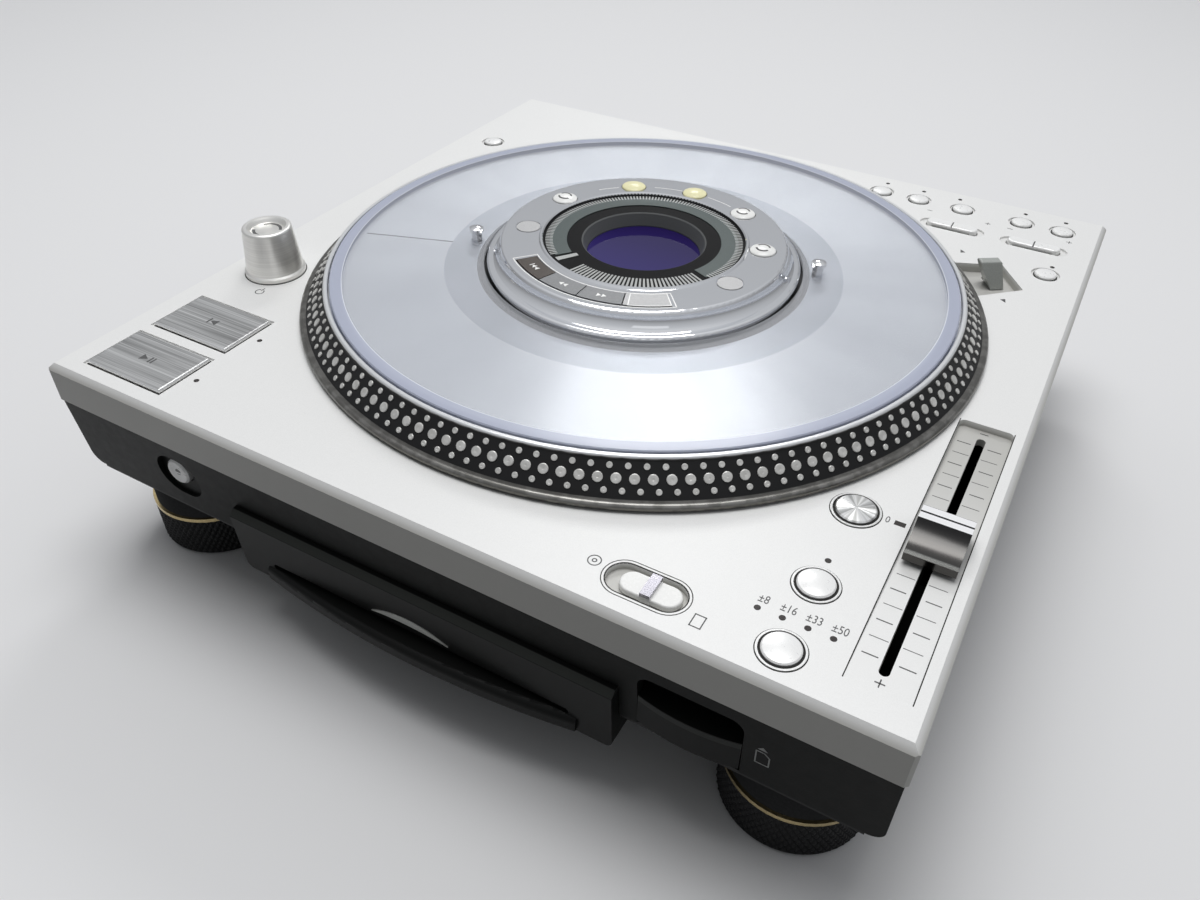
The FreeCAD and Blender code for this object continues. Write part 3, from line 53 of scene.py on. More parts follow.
class Field:
    """One value over a surface. Arithmetic on it adds Math nodes, and node() adds any other node."""

    def __init__(self, tree, socket=None):
        self.tree = tree
        self.socket = socket

    def node(self, kind, settings, plugs, out=0):
        made = self.tree.nodes.new(kind)
        for name, value in settings.items():
            if name == "stops":
                ramp = made.color_ramp.elements
                while len(ramp) < len(value):
                    ramp.new(1.0)
                for stop, (place, color) in zip(ramp, value):
                    stop.position = place
                    stop.color = (*color, 1)
            else:
                setattr(made, name, value)
        for name, value in plugs.items():
            if isinstance(value, Field):
                self.tree.links.new(value.socket, made.inputs[name])
            else:
                made.inputs[name].default_value = value
        return Field(self.tree, made.outputs[out])

    def math(self, operation, *others):
        return self.node("ShaderNodeMath", {"operation": operation}, dict(enumerate((self, *others))))

    def __add__(self, other):
        return self.math("ADD", other)

    __radd__ = __add__

    def __sub__(self, other):
        return self.math("SUBTRACT", other)

    def __rsub__(self, other):
        return self * -1 + other

    def __mul__(self, other):
        return self.math("MULTIPLY", other)

    __rmul__ = __mul__

    def axis(self, name):
        return self.node("ShaderNodeSeparateXYZ", {}, {0: self}, name)

    def vector(self, operation, other=(0.0, 0.0, 0.0), out=0):
        return self.node("ShaderNodeVectorMath", {"operation": operation}, {0: self, 1: other}, out)

    def from_point(self, x=0.0, y=0.0, z=0.0):
        """Count the same point from another place."""
        return self.vector("SUBTRACT", (x, y, z))

    def stretched(self, x, y, z):
        """Multiply each axis of the point, for a pattern drawn out along one of them."""
        return self.vector("MULTIPLY", (x, y, z))

    def radius(self):
        """Give the distance from the vertical axis."""
        return self.stretched(1, 1, 0).vector("LENGTH", out="Value")

    def angle(self):
        """Give the angle round the vertical axis, in radians."""
        return self.axis("Y").math("ARCTAN2", self.axis("X"))

    def noise(self, scale, detail=2.0):
        """Give cloudy noise from 0 to 1, with scale lumps to the metre."""
        return self.node("ShaderNodeTexNoise", {}, {"Vector": self, "Scale": scale, "Detail": detail})

    def ease(self, low, high):
        """Rise smoothly from 0 at low to 1 at high."""
        return self.node("ShaderNodeMapRange", {"interpolation_type": "SMOOTHSTEP"},
                         {0: self, 1: low, 2: high, 3: 0.0, 4: 1.0})

    def band(self, low, high, soft=0.04 * MM):
        """Be 1 between low and high, with edges as soft as told."""
        return self.ease(low - soft, low + soft) * (1 - self.ease(high - soft, high + soft))

    def mix(self, first, second):
        """Go from the first colour at 0 to the second at 1."""
        first = first if isinstance(first, Field) else (*first, 1)
        second = second if isinstance(second, Field) else (*second, 1)
        return self.node("ShaderNodeMix", {"data_type": "RGBA"}, {0: self, 6: first, 7: second}, 2)


player_middle = (0, 0, 0.09)


def lamp(name, place, width, height, watts):
    """Hang a rectangular soft lamp that faces the player."""
    data = bpy.data.lights.new(name, "AREA")
    data.shape = "RECTANGLE"
    data.size, data.size_y = width, height
    data.energy = watts
    away = (Vector(place) - Vector(player_middle)).to_track_quat("Z", "Y")
    thing = bpy.data.objects.new(name, data)
    thing.matrix_world = Matrix.Translation(place) @ away.to_matrix().to_4x4()
    bpy.context.scene.collection.objects.link(thing)


lamp("back_lamp", (-0.70, 1.60, 1.56), 0.60, 0.34, 7.0)
lamp("ceiling_lamp", (-0.10, 0.10, 1.60), 1.0, 0.7, 14.0)
lamp("front_lamp", (0.9, -1.3, 1.3), 0.8, 0.5, 0.3)

world = bpy.data.worlds.new("soft_sky")
bpy.context.scene.world = world
world.use_nodes = True
sky_stops = [(0.0, (0.30, 0.305, 0.315)), (0.30, (0.48, 0.49, 0.51)), (0.65, (0.60, 0.615, 0.64)),
             (1.0, (0.85, 0.86, 0.88))]
sky_strength = 0.9
front_dimming = 0.82
ray = Field(world.node_tree).node("ShaderNodeTexCoord", {}, {}, "Generated")
sky_color = ray.node("ShaderNodeValToRGB", {"stops": sky_stops}, {0: ray.axis("Z")})
front_dark = (1 - ray.axis("Y").ease(-0.55, 0.45)) * front_dimming
lit_color = front_dark.mix(sky_color, (0.03, 0.032, 0.032))


def seen_rays(tree):
    """Be 1 for the rays that show a surface to the eye, straight or through metal and glass."""
    camera_ray = Field(tree).node("ShaderNodeLightPath", {}, {}, "Is Camera Ray")
    glossy_ray = Field(tree).node("ShaderNodeLightPath", {}, {}, "Is Glossy Ray")
    glass_ray = Field(tree).node("ShaderNodeLightPath", {}, {}, "Is Transmission Ray")
    return camera_ray.math("MAXIMUM", glossy_ray).math("MAXIMUM", glass_ray)


sky_color = seen_rays(world.node_tree).mix(lit_color, sky_color)
background = world.node_tree.nodes["Background"]
world.node_tree.links.new(sky_color.socket, background.inputs["Color"])
background.inputs["Strength"].default_value = sky_strength

floor_half = 3.0
floor_mesh = bpy.data.meshes.new("floor")
floor_mesh.from_pydata([(-floor_half, -floor_half, 0), (floor_half, -floor_half, 0),
                        (floor_half, floor_half, 0), (-floor_half, floor_half, 0)], [], [(0, 1, 2, 3)])
floor = bpy.data.objects.new("floor", floor_mesh)
bpy.context.scene.collection.objects.link(floor)
floor_paint = bpy.data.materials.new("floor_paint")
floor_paint.use_nodes = True
floor_shader = floor_paint.node_tree.nodes["Principled BSDF"]
floor_color = seen_rays(floor_paint.node_tree).mix((0.15, 0.15, 0.15), (0.77, 0.77, 0.775))
floor_paint.node_tree.links.new(floor_color.socket, floor_shader.inputs["Base Color"])
floor_shader.inputs["Roughness"].default_value = 0.9
floor_mesh.materials.append(floor_paint)

camera_place = (0.155404, -0.314607, 0.287914)
camera_right = (0.86894, 0.4947, 0.01426)
camera_up = (-0.32395, 0.54676, 0.77208)
camera_back = (0.37416, -0.67552, 0.63536)
camera_data = bpy.data.cameras.new("camera")
camera_data.lens = 28.789
camera_data.sensor_width = 36.0
camera_data.clip_start = 0.01
camera = bpy.data.objects.new("camera", camera_data)
camera.matrix_world = Matrix([(camera_right[i], camera_up[i], camera_back[i], camera_place[i])
                              for i in range(3)] + [(0, 0, 0, 1)])
bpy.context.scene.collection.objects.link(camera)
bpy.context.scene.camera = camera
bpy.context.scene.view_settings.view_transform = "Standard"


# Top panel. A cast aluminium plate painted silver white with a very fine metallic fleck, with a
# crisp bevel all round, and painted shade on all of it that lies below its top. Its signs are printed
# in dark grey ink, and small dark lamps sit flush in it.

top = 88 * MM
ink_high = 0.04 * MM
ink_low = -0.15 * MM
thin = 0.02 * MM
arc_step = 3
figure_stretch = 0.70


class Finish:
    """A material on one Principled shader, with what is constant set on the shader itself."""

    def __init__(self, name, color, roughness, metallic=0.0, extra=()):
        self.material = bpy.data.materials.new(name)
        self.material.use_nodes = True
        self.tree = self.material.node_tree
        self.shader = self.tree.nodes["Principled BSDF"]
        self.point = Field(self.tree).node("ShaderNodeTexCoord", {}, {}, "Object")
        self.color = color
        self.shader.inputs["Base Color"].default_value = (*color, 1)
        self.shader.inputs["Roughness"].default_value = roughness
        self.shader.inputs["Metallic"].default_value = metallic
        for socket, value in dict(extra).items():
            self.shader.inputs[socket].default_value = value

    def vary(self, socket, field):
        self.tree.links.new(field.socket, self.shader.inputs[socket])

    def emboss(self, height, depth):
        """Shade the surface as if it rose by height (0 to 1) times depth."""
        self.vary("Normal", height.node("ShaderNodeBump", {}, {"Height": height, "Distance": depth}))

    def speckle(self, scale, spread, depth=0.0, rough=None):
        """Vary the colour by fine noise, the height by depth and the roughness between two values."""
        speck = self.point.noise(scale, 3.0)
        low = [c * (1 - spread) for c in self.color]
        high = [min(1, c * (1 + spread)) for c in self.color]
        self.vary("Base Color", speck.ease(0.3, 0.7).mix(low, high))
        if rough:
            self.vary("Roughness", self.point.noise(scale / 7, 2.0) * (rough[1] - rough[0]) + rough[0])
        if depth:
            self.emboss(speck, depth)
        return self

    def on(self, *pieces):
        """Cover these pieces or nodes with this material."""
        for piece in pieces:
            mesh = nodes[piece].data if isinstance(piece, str) else piece.data
            mesh.materials.clear()
            mesh.materials.append(self.material)


def add_piece(name, points, faces, body, smooth=False):
    """Make a piece from its points and faces, riding a body."""
    mesh = bpy.data.meshes.new(name)
    mesh.from_pydata(points, [], faces)
    made = bmesh.new()
    made.from_mesh(mesh)
    bmesh.ops.recalc_face_normals(made, faces=made.faces)
    made.to_mesh(mesh)
    made.free()
    mesh.polygons.foreach_set("use_smooth", [smooth] * len(mesh.polygons))
    piece = bpy.data.objects.new(name, mesh)
    bpy.context.scene.collection.objects.link(piece)
    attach(piece, body)
    return piece


def ribbons(name, shapes, low, high, body, finish, place=Matrix()):
    """Make flat signs, each a solid ribbon between two lines of points, in one finish.

    A shape is an array of its left and its right line, in millimetres. Four points stand at each
    station along it: both lines at the height low, and both again at the height high. Quads join
    each station to the next, and the first and the last four points close the ribbon's ends.
    The place then carries the flat signs onto their surface.
    """
    points, faces, count = [], [], 0
    for left, right in shapes:
        stations = len(left)
        loop = np.stack([left, right, right, left], 1) * MM
        levels = np.broadcast_to(np.array([low, low, high, high]), (stations, 4))
        points.append(np.concatenate([loop, levels[..., None]], -1).reshape(-1, 3))
        k, corner = np.meshgrid(np.arange(stations - 1) * 4, np.arange(4), indexing="ij")
        beside = (corner + 1) % 4
        quads = np.stack([k + corner, k + 4 + corner, k + 4 + beside, k + beside], -1).reshape(-1, 4)
        ends = np.array([[0, 1, 2, 3], [3, 2, 1, 0]]) + [[0], [(stations - 1) * 4]]
        faces.append(np.concatenate([quads, ends]) + count)
        count += stations * 4
    turned = np.concatenate(points) @ np.array(place.to_3x3()).T + np.array(place.translation)
    piece = add_piece(name, turned.tolist(), np.concatenate(faces).tolist(), body)
    finish.on(piece)
    return piece


def swing(flat, x, y, turn):
    """Turn flat points by some degrees about the origin and carry them to a place."""
    c, s = math.cos(math.radians(turn)), math.sin(math.radians(turn))
    return np.array(flat, float) @ np.array([[c, s], [-s, c]]) + [x, y]


def bar(x, y, width, depth, turn=0.0):
    """Give a straight ribbon about a point: two level lines, half the depth above and below it."""
    w, d = width / 2, depth / 2
    return swing([[(-w, d), (w, d)], [(-w, -d), (w, -d)]], x, y, turn)


def arrowhead(x, y, length, width, turn=0.0):
    """Give a triangle that points along an angle: two lines that meet at its tip."""
    h, w = length / 2, width / 2
    return swing([[(-h, w), (h, 0.02)], [(-h, -w), (h, -0.02)]], x, y, turn)


def arc(x, y, inner, outer, start, end):
    """Give a ring sector: its lines are the outer and the inner circle between two angles.

    Each circle has one point for every few degrees of the angle, and never fewer than three.
    """
    turns = np.radians(np.linspace(start, end, max(3, int(abs(end - start) / arc_step) + 1)))
    circle = np.stack([np.cos(turns), np.sin(turns)], -1)
    return np.array([circle * outer, circle * inner]) + [x, y]


def dot(x, y, radius):
    """Give a round spot: its lines are the upper and the lower half of a circle."""
    turns = np.radians(np.linspace(176, 4, 12))  # both ends stay a little open, for ends with an area
    half = np.stack([np.cos(turns), np.sin(turns)], -1) * radius
    return np.array([half, half * [1, -1]]) + [x, y]


def pill_line(x, y, length, width, inner, outer):
    """Give a line round a pill: a circle whose halves are pulled apart along X.

    Its points are the circle of half the width, plus the inner or the outer distance from the
    pill's edge, moved right where the cosine is positive and left where it is negative.
    """
    half = 17
    turns = np.radians(np.concatenate([np.linspace(-90, 90, half), np.linspace(90, 270, half), [270.001]]))
    shift = np.concatenate([np.ones(half), -np.ones(half), np.ones(1)]) * (length - width) / 2
    circle = np.stack([np.cos(turns), np.sin(turns)], -1)
    apart = np.stack([shift, np.zeros(len(shift))], -1)
    outer_line = circle * (width / 2 + outer) + apart
    inner_line = circle * (width / 2 + inner) + apart
    return np.array([outer_line, inner_line]) + [x, y]


def figures(name, words, size, places, body, finish):
    """Set narrow plain figures as raised ink, each about its place on the panel."""
    for number, (word, (x, y)) in enumerate(zip(words, places)):
        curve = bpy.data.curves.new(name, "FONT")
        curve.body = word
        curve.size = size * MM
        curve.align_x, curve.align_y = "CENTER", "CENTER"
        curve.extrude = ink_high / 2
        curve.resolution_u = 3
        holder = bpy.data.objects.new(name, curve)
        mesh = bpy.data.meshes.new_from_object(holder)
        bpy.data.objects.remove(holder)
        mesh.transform(Matrix.Translation((x * MM, y * MM, top + ink_high / 2))
                       @ Matrix.Diagonal((figure_stretch, 1.0, 1.0, 1.0)))
        piece = bpy.data.objects.new("%s_%d" % (name, number), mesh)
        bpy.context.scene.collection.objects.link(piece)
        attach(piece, body)
        finish.on(piece)


panel_paint = Finish("silver_white_paint", (0.80, 0.80, 0.79), 0.40, 0.12, {"Specular IOR Level": 0.3})
fleck = panel_paint.point.noise(5200, 3.0)
paint = fleck.ease(0.3, 0.7).mix((0.775, 0.775, 0.765), (0.83, 0.83, 0.82))
# Painted shade: all that lies more than 0.2 mm below the top, the sunk fader bed and the bevel and bands,
# is painted darker.
unshaded_top = panel_paint.point.axis("Z").ease(top - 2.3 * MM, top - 0.2 * MM)
panel_paint.vary("Base Color", unshaded_top.mix((0.52, 0.515, 0.49), paint))
panel_paint.vary("Roughness", panel_paint.point.noise(700, 2.0) * 0.1 + 0.36)
panel_paint.emboss(fleck, 0.00002)
panel_paint.on("top_panel")
ink = Finish("dark_grey_ink", (0.07, 0.07, 0.072), 0.5).speckle(3000, 0.15)
lamp_black = Finish("unlit_lamp", (0.030, 0.024, 0.022), 0.25).speckle(2500, 0.2)
# Painted shade: thin dark lines round recess edges and dark sheets in the gaps round keys, where only
# shade falls, are all in this finish.
gap_shade = Finish("painted_gap_shade", (0.016, 0.015, 0.014), 0.6, 0.0, {"Specular IOR Level": 0.2})
gap_shade.speckle(2500, 0.2)

small_lamps = [(-105.1, -141.5), (-104.9, -111.1), (108.4, -139.1), (115.7, -139.1), (123.0, -139.1),
               (130.2, -139.1), (119.3, -112.2), (57.9, 153.6), (76.0, 153.6), (93.6, 153.6),
               (124.4, 153.6), (142.6, 153.6), (144.5, 105.7)]
zero_lamp = bar(133.0, -86.5, 3.4, 2.0)
ribbons("panel_lamps", [dot(x, y, 1.0) for x, y in small_lamps] + [zero_lamp],
        top + ink_low, top + ink_high, "chassis", lamp_black)

lever_turn = -56
lever_signs = [arrowhead(107.0, 100.4, 2.8, 2.2, lever_turn + 180),
               arrowhead(132.4, 65.5, 2.8, 2.2, lever_turn)]
power_sign = [arc(-131.3, -84.6, 1.5, 1.9, 115, 425), bar(-131.3, -82.7, 0.4, 2.2)]
disc_sign = [arc(61.0, -146.2, 1.8, 2.15, 0, 360), arc(61.0, -146.2, 0.45, 0.8, 0, 360)]
line = 0.35
card_frame = [bar(96.4, -149.7, 3.6, line), bar(96.4, -154.1, 3.6, line),
              bar(94.8, -151.9, line, 4.4), bar(98.0, -151.9, line, 4.4)]
signs = lever_signs + power_sign + disc_sign + card_frame
rocker_sign_y = 134.0
for minus_x, plus_x in ((84.0, 111.0), (121.0, 147.0)):
    signs += [bar(minus_x, rocker_sign_y, 2.4, line), bar(plus_x, rocker_sign_y, 2.4, line),
              bar(plus_x, rocker_sign_y, line, 2.4)]
ribbons("printed_signs", signs, top + ink_low, top + ink_high, "chassis", ink)
range_places = [(x, -135.4) for x in (108.9, 116.2, 123.6, 130.9)]
figures("range_figure", ["±8", "±16", "±33", "±50"], 4.3, range_places, "chassis", ink)
figures("zero_figure", ["0"], 4.2, [(129.2, -86.5)], "chassis", ink)


# Lower case and bottom. The case is moulded in near black plastic with a fine spark texture, and
# the steel cover under it is painted black and held by six screws.

case_plastic = Finish("near_black_plastic", (0.009, 0.0095, 0.009), 0.45, 0.0,
                      {"Specular IOR Level": 0.08})
case_plastic.speckle(1800, 0.12, 0.00003, (0.36, 0.50)).on("lower_case", "mains_inlet", "hub_base")
cover_paint = Finish("black_cover_paint", (0.014, 0.014, 0.014), 0.5, 0.0, {"Specular IOR Level": 0.25})
cover_paint.speckle(900, 0.1, 0.00002).on("bottom_cover")
Finish("screw_metal", (0.58, 0.58, 0.57), 0.25, 1.0).speckle(1500, 0.08).on("cover_screws")


# Feet. Each is a broad rubber pad with a diamond knurl round its side, under a brass coloured ring
# and a narrower neck that goes up to the cover.

def turned(name, rings, body):
    """Skin a stack of rings, an array of (rings, points round, 3), into one closed body.

    Quads join point i of ring j to point i + 1 and to the same two of ring j + 1, and each ring
    closes on itself. A fan about its middle fills the first ring, and another the last.
    """
    high, around = rings.shape[:2]
    i, j = np.meshgrid(np.arange(around), np.arange(high - 1) * around)
    beside = (i + 1) % around
    quads = np.stack([j + i, j + beside, j + around + beside, j + around + i], -1).reshape(-1, 4)
    points = np.concatenate([rings.reshape(-1, 3), rings[0].mean(0)[None], rings[-1].mean(0)[None]])
    i = np.arange(around)
    low_fan = np.stack([np.full(around, high * around), (i + 1) % around, i], -1)
    last = (high - 1) * around
    high_fan = np.stack([np.full(around, high * around + 1), last + i, last + (i + 1) % around], -1)
    faces = quads.tolist() + low_fan.tolist() + high_fan.tolist()
    return add_piece(name, points.tolist(), faces, body, smooth=True)


foot_radius = 25.5 * MM
neck_radius = 24.3 * MM
tread_low, tread_high, ring_low, foot_top = 2.0 * MM, 17.9 * MM, 18.6 * MM, 39.1 * MM
knurl_depth = 0.9 * MM
knurl_rows, knurls = 8, 64
knurl_steps = 6
foot_places = [(x * MM, y * MM) for x in (-131.5, 127.5) for y in (-128, 128)]
rubber = Finish("foot_rubber", (0.016, 0.016, 0.0165), 0.42, 0.0, {"Specular IOR Level": 0.18})
rubber.speckle(900, 0.2, 0.00002, (0.36, 0.55))


def knurled_foot(x, y):
    """Give the rings of a foot: two for its rounded sole, then the knurled tread, and three above.

    The radius is the foot's own, less the knurl: its depth times one minus the lesser of two
    crossing waves. The waves are the sines, without their signs, of half the knurl count times the
    angle, plus and minus half a turn of pi for each row that the tread has risen.
    """
    rise = np.linspace(0, 1, knurl_rows * knurl_steps + 1)
    tread = tread_low + rise * (tread_high - tread_low)
    levels = np.concatenate([[0, 1.2 * MM], tread, [ring_low, ring_low, foot_top]])
    sole = [foot_radius - 1.6 * MM, foot_radius - 0.4 * MM]
    above = [foot_radius - 0.4 * MM, neck_radius, neck_radius]
    base = np.concatenate([sole, np.full(len(rise), foot_radius), above])
    depth = np.concatenate([[0, 0], np.full(len(rise), knurl_depth), [0, 0, 0]])
    rise = np.concatenate([[0, 0], rise, [1, 1, 1]])
    around = knurls * knurl_steps
    turn, step = np.meshgrid(np.arange(around) * 2 * math.pi / around, rise)
    up = knurls / 2 * turn + knurl_rows * math.pi / 2 * step
    down = knurls / 2 * turn - knurl_rows * math.pi / 2 * step
    bump = np.minimum(np.abs(np.sin(up)), np.abs(np.sin(down)))
    radius = base[:, None] - depth[:, None] * (1 - bump)
    high = np.broadcast_to(levels[:, None], turn.shape)
    return np.stack([x + radius * np.cos(turn), y + radius * np.sin(turn), high], -1)


for number, (x, y) in enumerate(foot_places):
    foot = turned("foot_%d" % number, knurled_foot(x, y), "chassis")
    rubber.on(foot)
    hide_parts("foot_pads")
brass = Finish("brass_ring", (0.70, 0.56, 0.30), 0.25, 1.0).speckle(1200, 0.1, 0.0, (0.18, 0.32))
brass.on("foot_rings", "rear_jack_set")


# Loader block. A glossy dark moulding with the disc slot, a bowed lip and a crescent of pale trim
# let into the face above the slot. The card fascia beside it has the same finish.

gloss_dark = Finish("glossy_dark_moulding", (0.010, 0.0105, 0.010), 0.3, 0.0,
                    {"Specular IOR Level": 0.09})
ridge_low, ridge_high = 53.2 * MM, 55.3 * MM
# Painted highlight: the bevel ridge along the housing's top front is painted lighter than the moulding.
ridge_highlight = gloss_dark.point.axis("Z").band(ridge_low, ridge_high, 0.1 * MM)
gloss_dark.vary("Base Color", ridge_highlight.mix(gloss_dark.color, (0.045, 0.048, 0.044)))
gloss_dark.vary("Roughness", gloss_dark.point.noise(300, 3.0) * 0.1 + 0.27)
gloss_dark.on("loader_housing", "card_socket")
trim_metal = Finish("pale_trim", (0.55, 0.56, 0.53), 0.38, 0.35).speckle(2600, 0.06)
trim_metal.on("slot_trim")
chrome = Finish("bright_chrome", (0.78, 0.78, 0.79), 0.09, 1.0)
chrome.vary("Roughness", chrome.point.noise(400, 3.0) * 0.07 + 0.05)
chrome.on("locating_pins")

pale_ink = Finish("pale_grey_ink", (0.40, 0.41, 0.40), 0.5).speckle(3000, 0.1)
upright = Matrix.Rotation(math.radians(90), 4, "X")
lean_back, lean_fall = 2.8, 31.9
lean = Matrix.Rotation(math.atan2(lean_back, lean_fall), 4, "X")
lean_front, lean_top = -161.2, 72.5
card_place = Matrix.Translation((0, lean_front * MM, lean_top * MM)) @ lean @ upright
card_x, card_y = 122.7, 54.0 - lean_top
card_line = 0.4
card_sign = [bar(card_x - 2.0, card_y - 0.4, card_line, 6.2),
             bar(card_x + 2.0, card_y - 1.2, card_line, 4.6),
             bar(card_x, card_y - 3.5, 4.4, card_line),
             bar(card_x - 0.9, card_y + 2.6, 2.4, card_line),
             bar(card_x + 1.2, card_y + 1.8, 2.4, card_line, -45),
             arrowhead(card_x - 0.2, card_y + 4.4, 1.5, 3.0, 90)]
ribbons("card_sign", card_sign, -0.15 * MM, 0.05 * MM, "chassis", pale_ink, card_place)


# Keys. Play and cue have thick brushed plates whose top bevel is painted pale as a highlight, reset
# has a turned crown with a painted radial sheen, and lock, range and the rest are lacquered silver.
# Dark sheets of painted shade lie in the gaps round the keys on top, and only along the straight sides
# of the two rockers, whose round ends swing down.

brushed = Finish("brushed_plate", (0.55, 0.55, 0.56), 0.30, 1.0)
plate_z = brushed.point.axis("Z")
strokes = brushed.point.stretched(16, 1500, 400).noise(1.0, 5.0)
broad_strokes = brushed.point.stretched(9, 160, 100).noise(1.0, 2.0)
# Painted highlight: the plates' top bevel is painted near white.
rim_highlight = 1 - plate_z.ease(88.72 * MM, 88.86 * MM)
brushing = (strokes * 0.75 + broad_strokes * 0.45).ease(0.35, 0.85)
plate_color = brushing.mix((0.30, 0.30, 0.295), (0.78, 0.78, 0.77))
brushed.vary("Base Color", rim_highlight.mix(plate_color, (0.85, 0.85, 0.85)))
brushed.vary("Roughness", strokes * 0.18 + 0.24)
brushed.emboss(strokes, 0.00001)
brushed.on("play_button", "cue_button")
engraved = Finish("engraved_sign", (0.12, 0.12, 0.12), 0.4, 0.5).speckle(3000, 0.2)
plate_top = 88.9 * MM
play_y, cue_y = -141.6, -111.4
ribbons("play_sign", [arrowhead(-131.2, play_y, 3.2, 3.4), bar(-128.2, play_y, 0.7, 3.2),
                      bar(-126.8, play_y, 0.7, 3.2)],
        plate_top + ink_low, plate_top + thin, "play_button", engraved)
ribbons("cue_sign", [arrowhead(-128.2, cue_y, 3.2, 3.4, 180), bar(-130.6, cue_y, 0.7, 3.4)],
        plate_top + ink_low, plate_top + thin, "cue_button", engraved)

plate_width, plate_depth, gap = 37.1, 23.3, 0.4
# Painted shade: dark sheets in the gaps round the play and cue plates.
gap_shade_length, gap_shade_depth, gap_shade_width = 37.8, 23.0, 0.34
across, along = plate_width / 2 + gap / 2, plate_depth / 2 + gap / 2
gap_shades = []
for x, y in ((-129.3, play_y), (-129.1, cue_y)):
    gap_shades += [bar(x, y - along, gap_shade_length, gap_shade_width), bar(x, y + along, gap_shade_length, gap_shade_width),
               bar(x - across, y, gap_shade_width, gap_shade_depth), bar(x + across, y, gap_shade_width, gap_shade_depth)]
ribbons("plate_gap_shades", gap_shades, top - 1.4 * MM, top - 0.65 * MM, "chassis", gap_shade)

reset_x, reset_y = 119.5, -87.3
ringed_keys = [(reset_x, reset_y, 6.4), (119.5, -122.9, 5.6), (119.5, -149.6, 5.6)]
round_keys = [(x, 143.3) for x in (57.9, 76.2, 97.2, 124.4, 142.6)] + [(143.1, 97.6), (-140.1, 94.6)]
# Painted shade: a thin dark line round each key ring's edge, and dark sheets in the gaps round the ringed
# and the round keys.
ribbons("ring_edge_shade", [arc(x, y, r + 1.42, r + 1.72, 0, 360) for x, y, r in ringed_keys],
        top + ink_low, top + thin, "chassis", gap_shade)
ribbons("ring_gap_shades", [arc(x, y, r + 0.05, r + 0.75, 0, 360) for x, y, r in ringed_keys],
        top - 0.6 * MM, top + 0.32 * MM, "chassis", gap_shade)
ribbons("key_gap_shades", [arc(x, y, 4.55, 4.88, 0, 360) for x, y in round_keys],
        top - 1.2 * MM, top - 0.45 * MM, "chassis", gap_shade)
ring_metal = Finish("ring_metal", (0.72, 0.72, 0.71), 0.3, 0.7).speckle(2600, 0.05)
ring_metal.on("button_rings")

lacquer = Finish("silver_lacquer", (0.88, 0.88, 0.87), 0.28, 0.15)
lacquer.speckle(4200, 0.04, 0.0, (0.24, 0.34))
lacquer.on("lock_button", "range_button", "search_rocker", "track_rocker", "eject_button",
           *["memory_button_%d" % n for n in range(1, 6)], "mode_button", "auxiliary_button")
ribbons("eject_sign", [arrowhead(-105.1, 59.6, 2.4, 4.0, 90), bar(-105.1, 57.2, 4.0, 0.8)],
        159.3 * MM, 159.62 * MM, "eject_button", engraved, upright)
rocker_y, rocker_edge = 121.8, 3.16
for name, x in (("search", 97.4), ("track", 133.6)):
    ribbons(name + "_split", [bar(x, rocker_y, 0.5, 5.3)], top + 0.7 * MM, top + 1.2 * MM,
            name + "_rocker", ink)
    # Painted shade: dark sheets along the rockers' straight sides.
    sides = [bar(x, rocker_y - rocker_edge, 17, 0.24), bar(x, rocker_y + rocker_edge, 17, 0.24)]
    ribbons(name + "_skirt", sides, top - 1.2 * MM, top - 0.3 * MM, "chassis", gap_shade)

turned_crown = Finish("turned_crown", (0.80, 0.80, 0.79), 0.28, 1.0,
                      {"Anisotropic": 0.85, "Anisotropic Rotation": 0.25})
from_key = turned_crown.point.from_point(reset_x * MM, reset_y * MM)
# Painted sheen: the crown's colour runs in pale and dark rays round the key, for the turned metal's radial
# reflections.
crown_sheen_rays = from_key.stretched(1, 1, 0).vector("NORMALIZE").noise(3.2, 3.0)
turned_crown.vary("Base Color", crown_sheen_rays.ease(0.35, 0.65).mix((0.42, 0.42, 0.41), (0.90, 0.90, 0.89)))
turned_crown.on("reset_button")


# Pitch fader. Its bed sinks to the back in the panel, with a short bold line and a long thin one in
# turn on both sides of the slot. The cap is chromed, with a white band and a black index line on top.

bed_front, bed_back = -149.7, -23.7
bed_sink = 2.4 * MM


def on_bed(y):
    """Give the height of the sloping bed at a place along it."""
    return top - bed_sink * (y - bed_front) / (bed_back - bed_front)


slot_x = 145.15
minus_y, plus_y = -25.6, -147.0
tick_middle, tick_pitch, tick_end = -86.35, 6.59, 7.3
bold_start, thin_start = 2.75, 1.95
fader_ticks = [(bar(slot_x, minus_y, 2.8, 0.4), on_bed(minus_y)),
               (bar(slot_x, plus_y, 2.8, 0.36), top), (bar(slot_x, plus_y, 0.36, 2.8), top)]
for k in range(-8, 9):
    y = tick_middle + tick_pitch * k
    start, thick = (bold_start, 0.38) if k % 2 == 0 else (thin_start, 0.24)
    for side in (-1, 1):
        tick = bar(slot_x + side * (tick_end + start) / 2, y, tick_end - start, thick)
        fader_ticks.append((tick, on_bed(y)))
for number, (shape, level) in enumerate(fader_ticks):
    ribbons("fader_tick_%d" % number, [shape], level + ink_low, level + ink_high, "chassis", ink)
bed_middle, bed_length = (bed_front + bed_back) / 2, bed_back - bed_front
# Painted shade: thin dark lines along both sides of the sunk bed.
bed_sides = [bar(x, bed_middle, 0.32, bed_length) for x in (136.15, 154.45)]
ribbons("bed_edge_shade", bed_sides, top + ink_low, top + thin, "chassis", gap_shade)

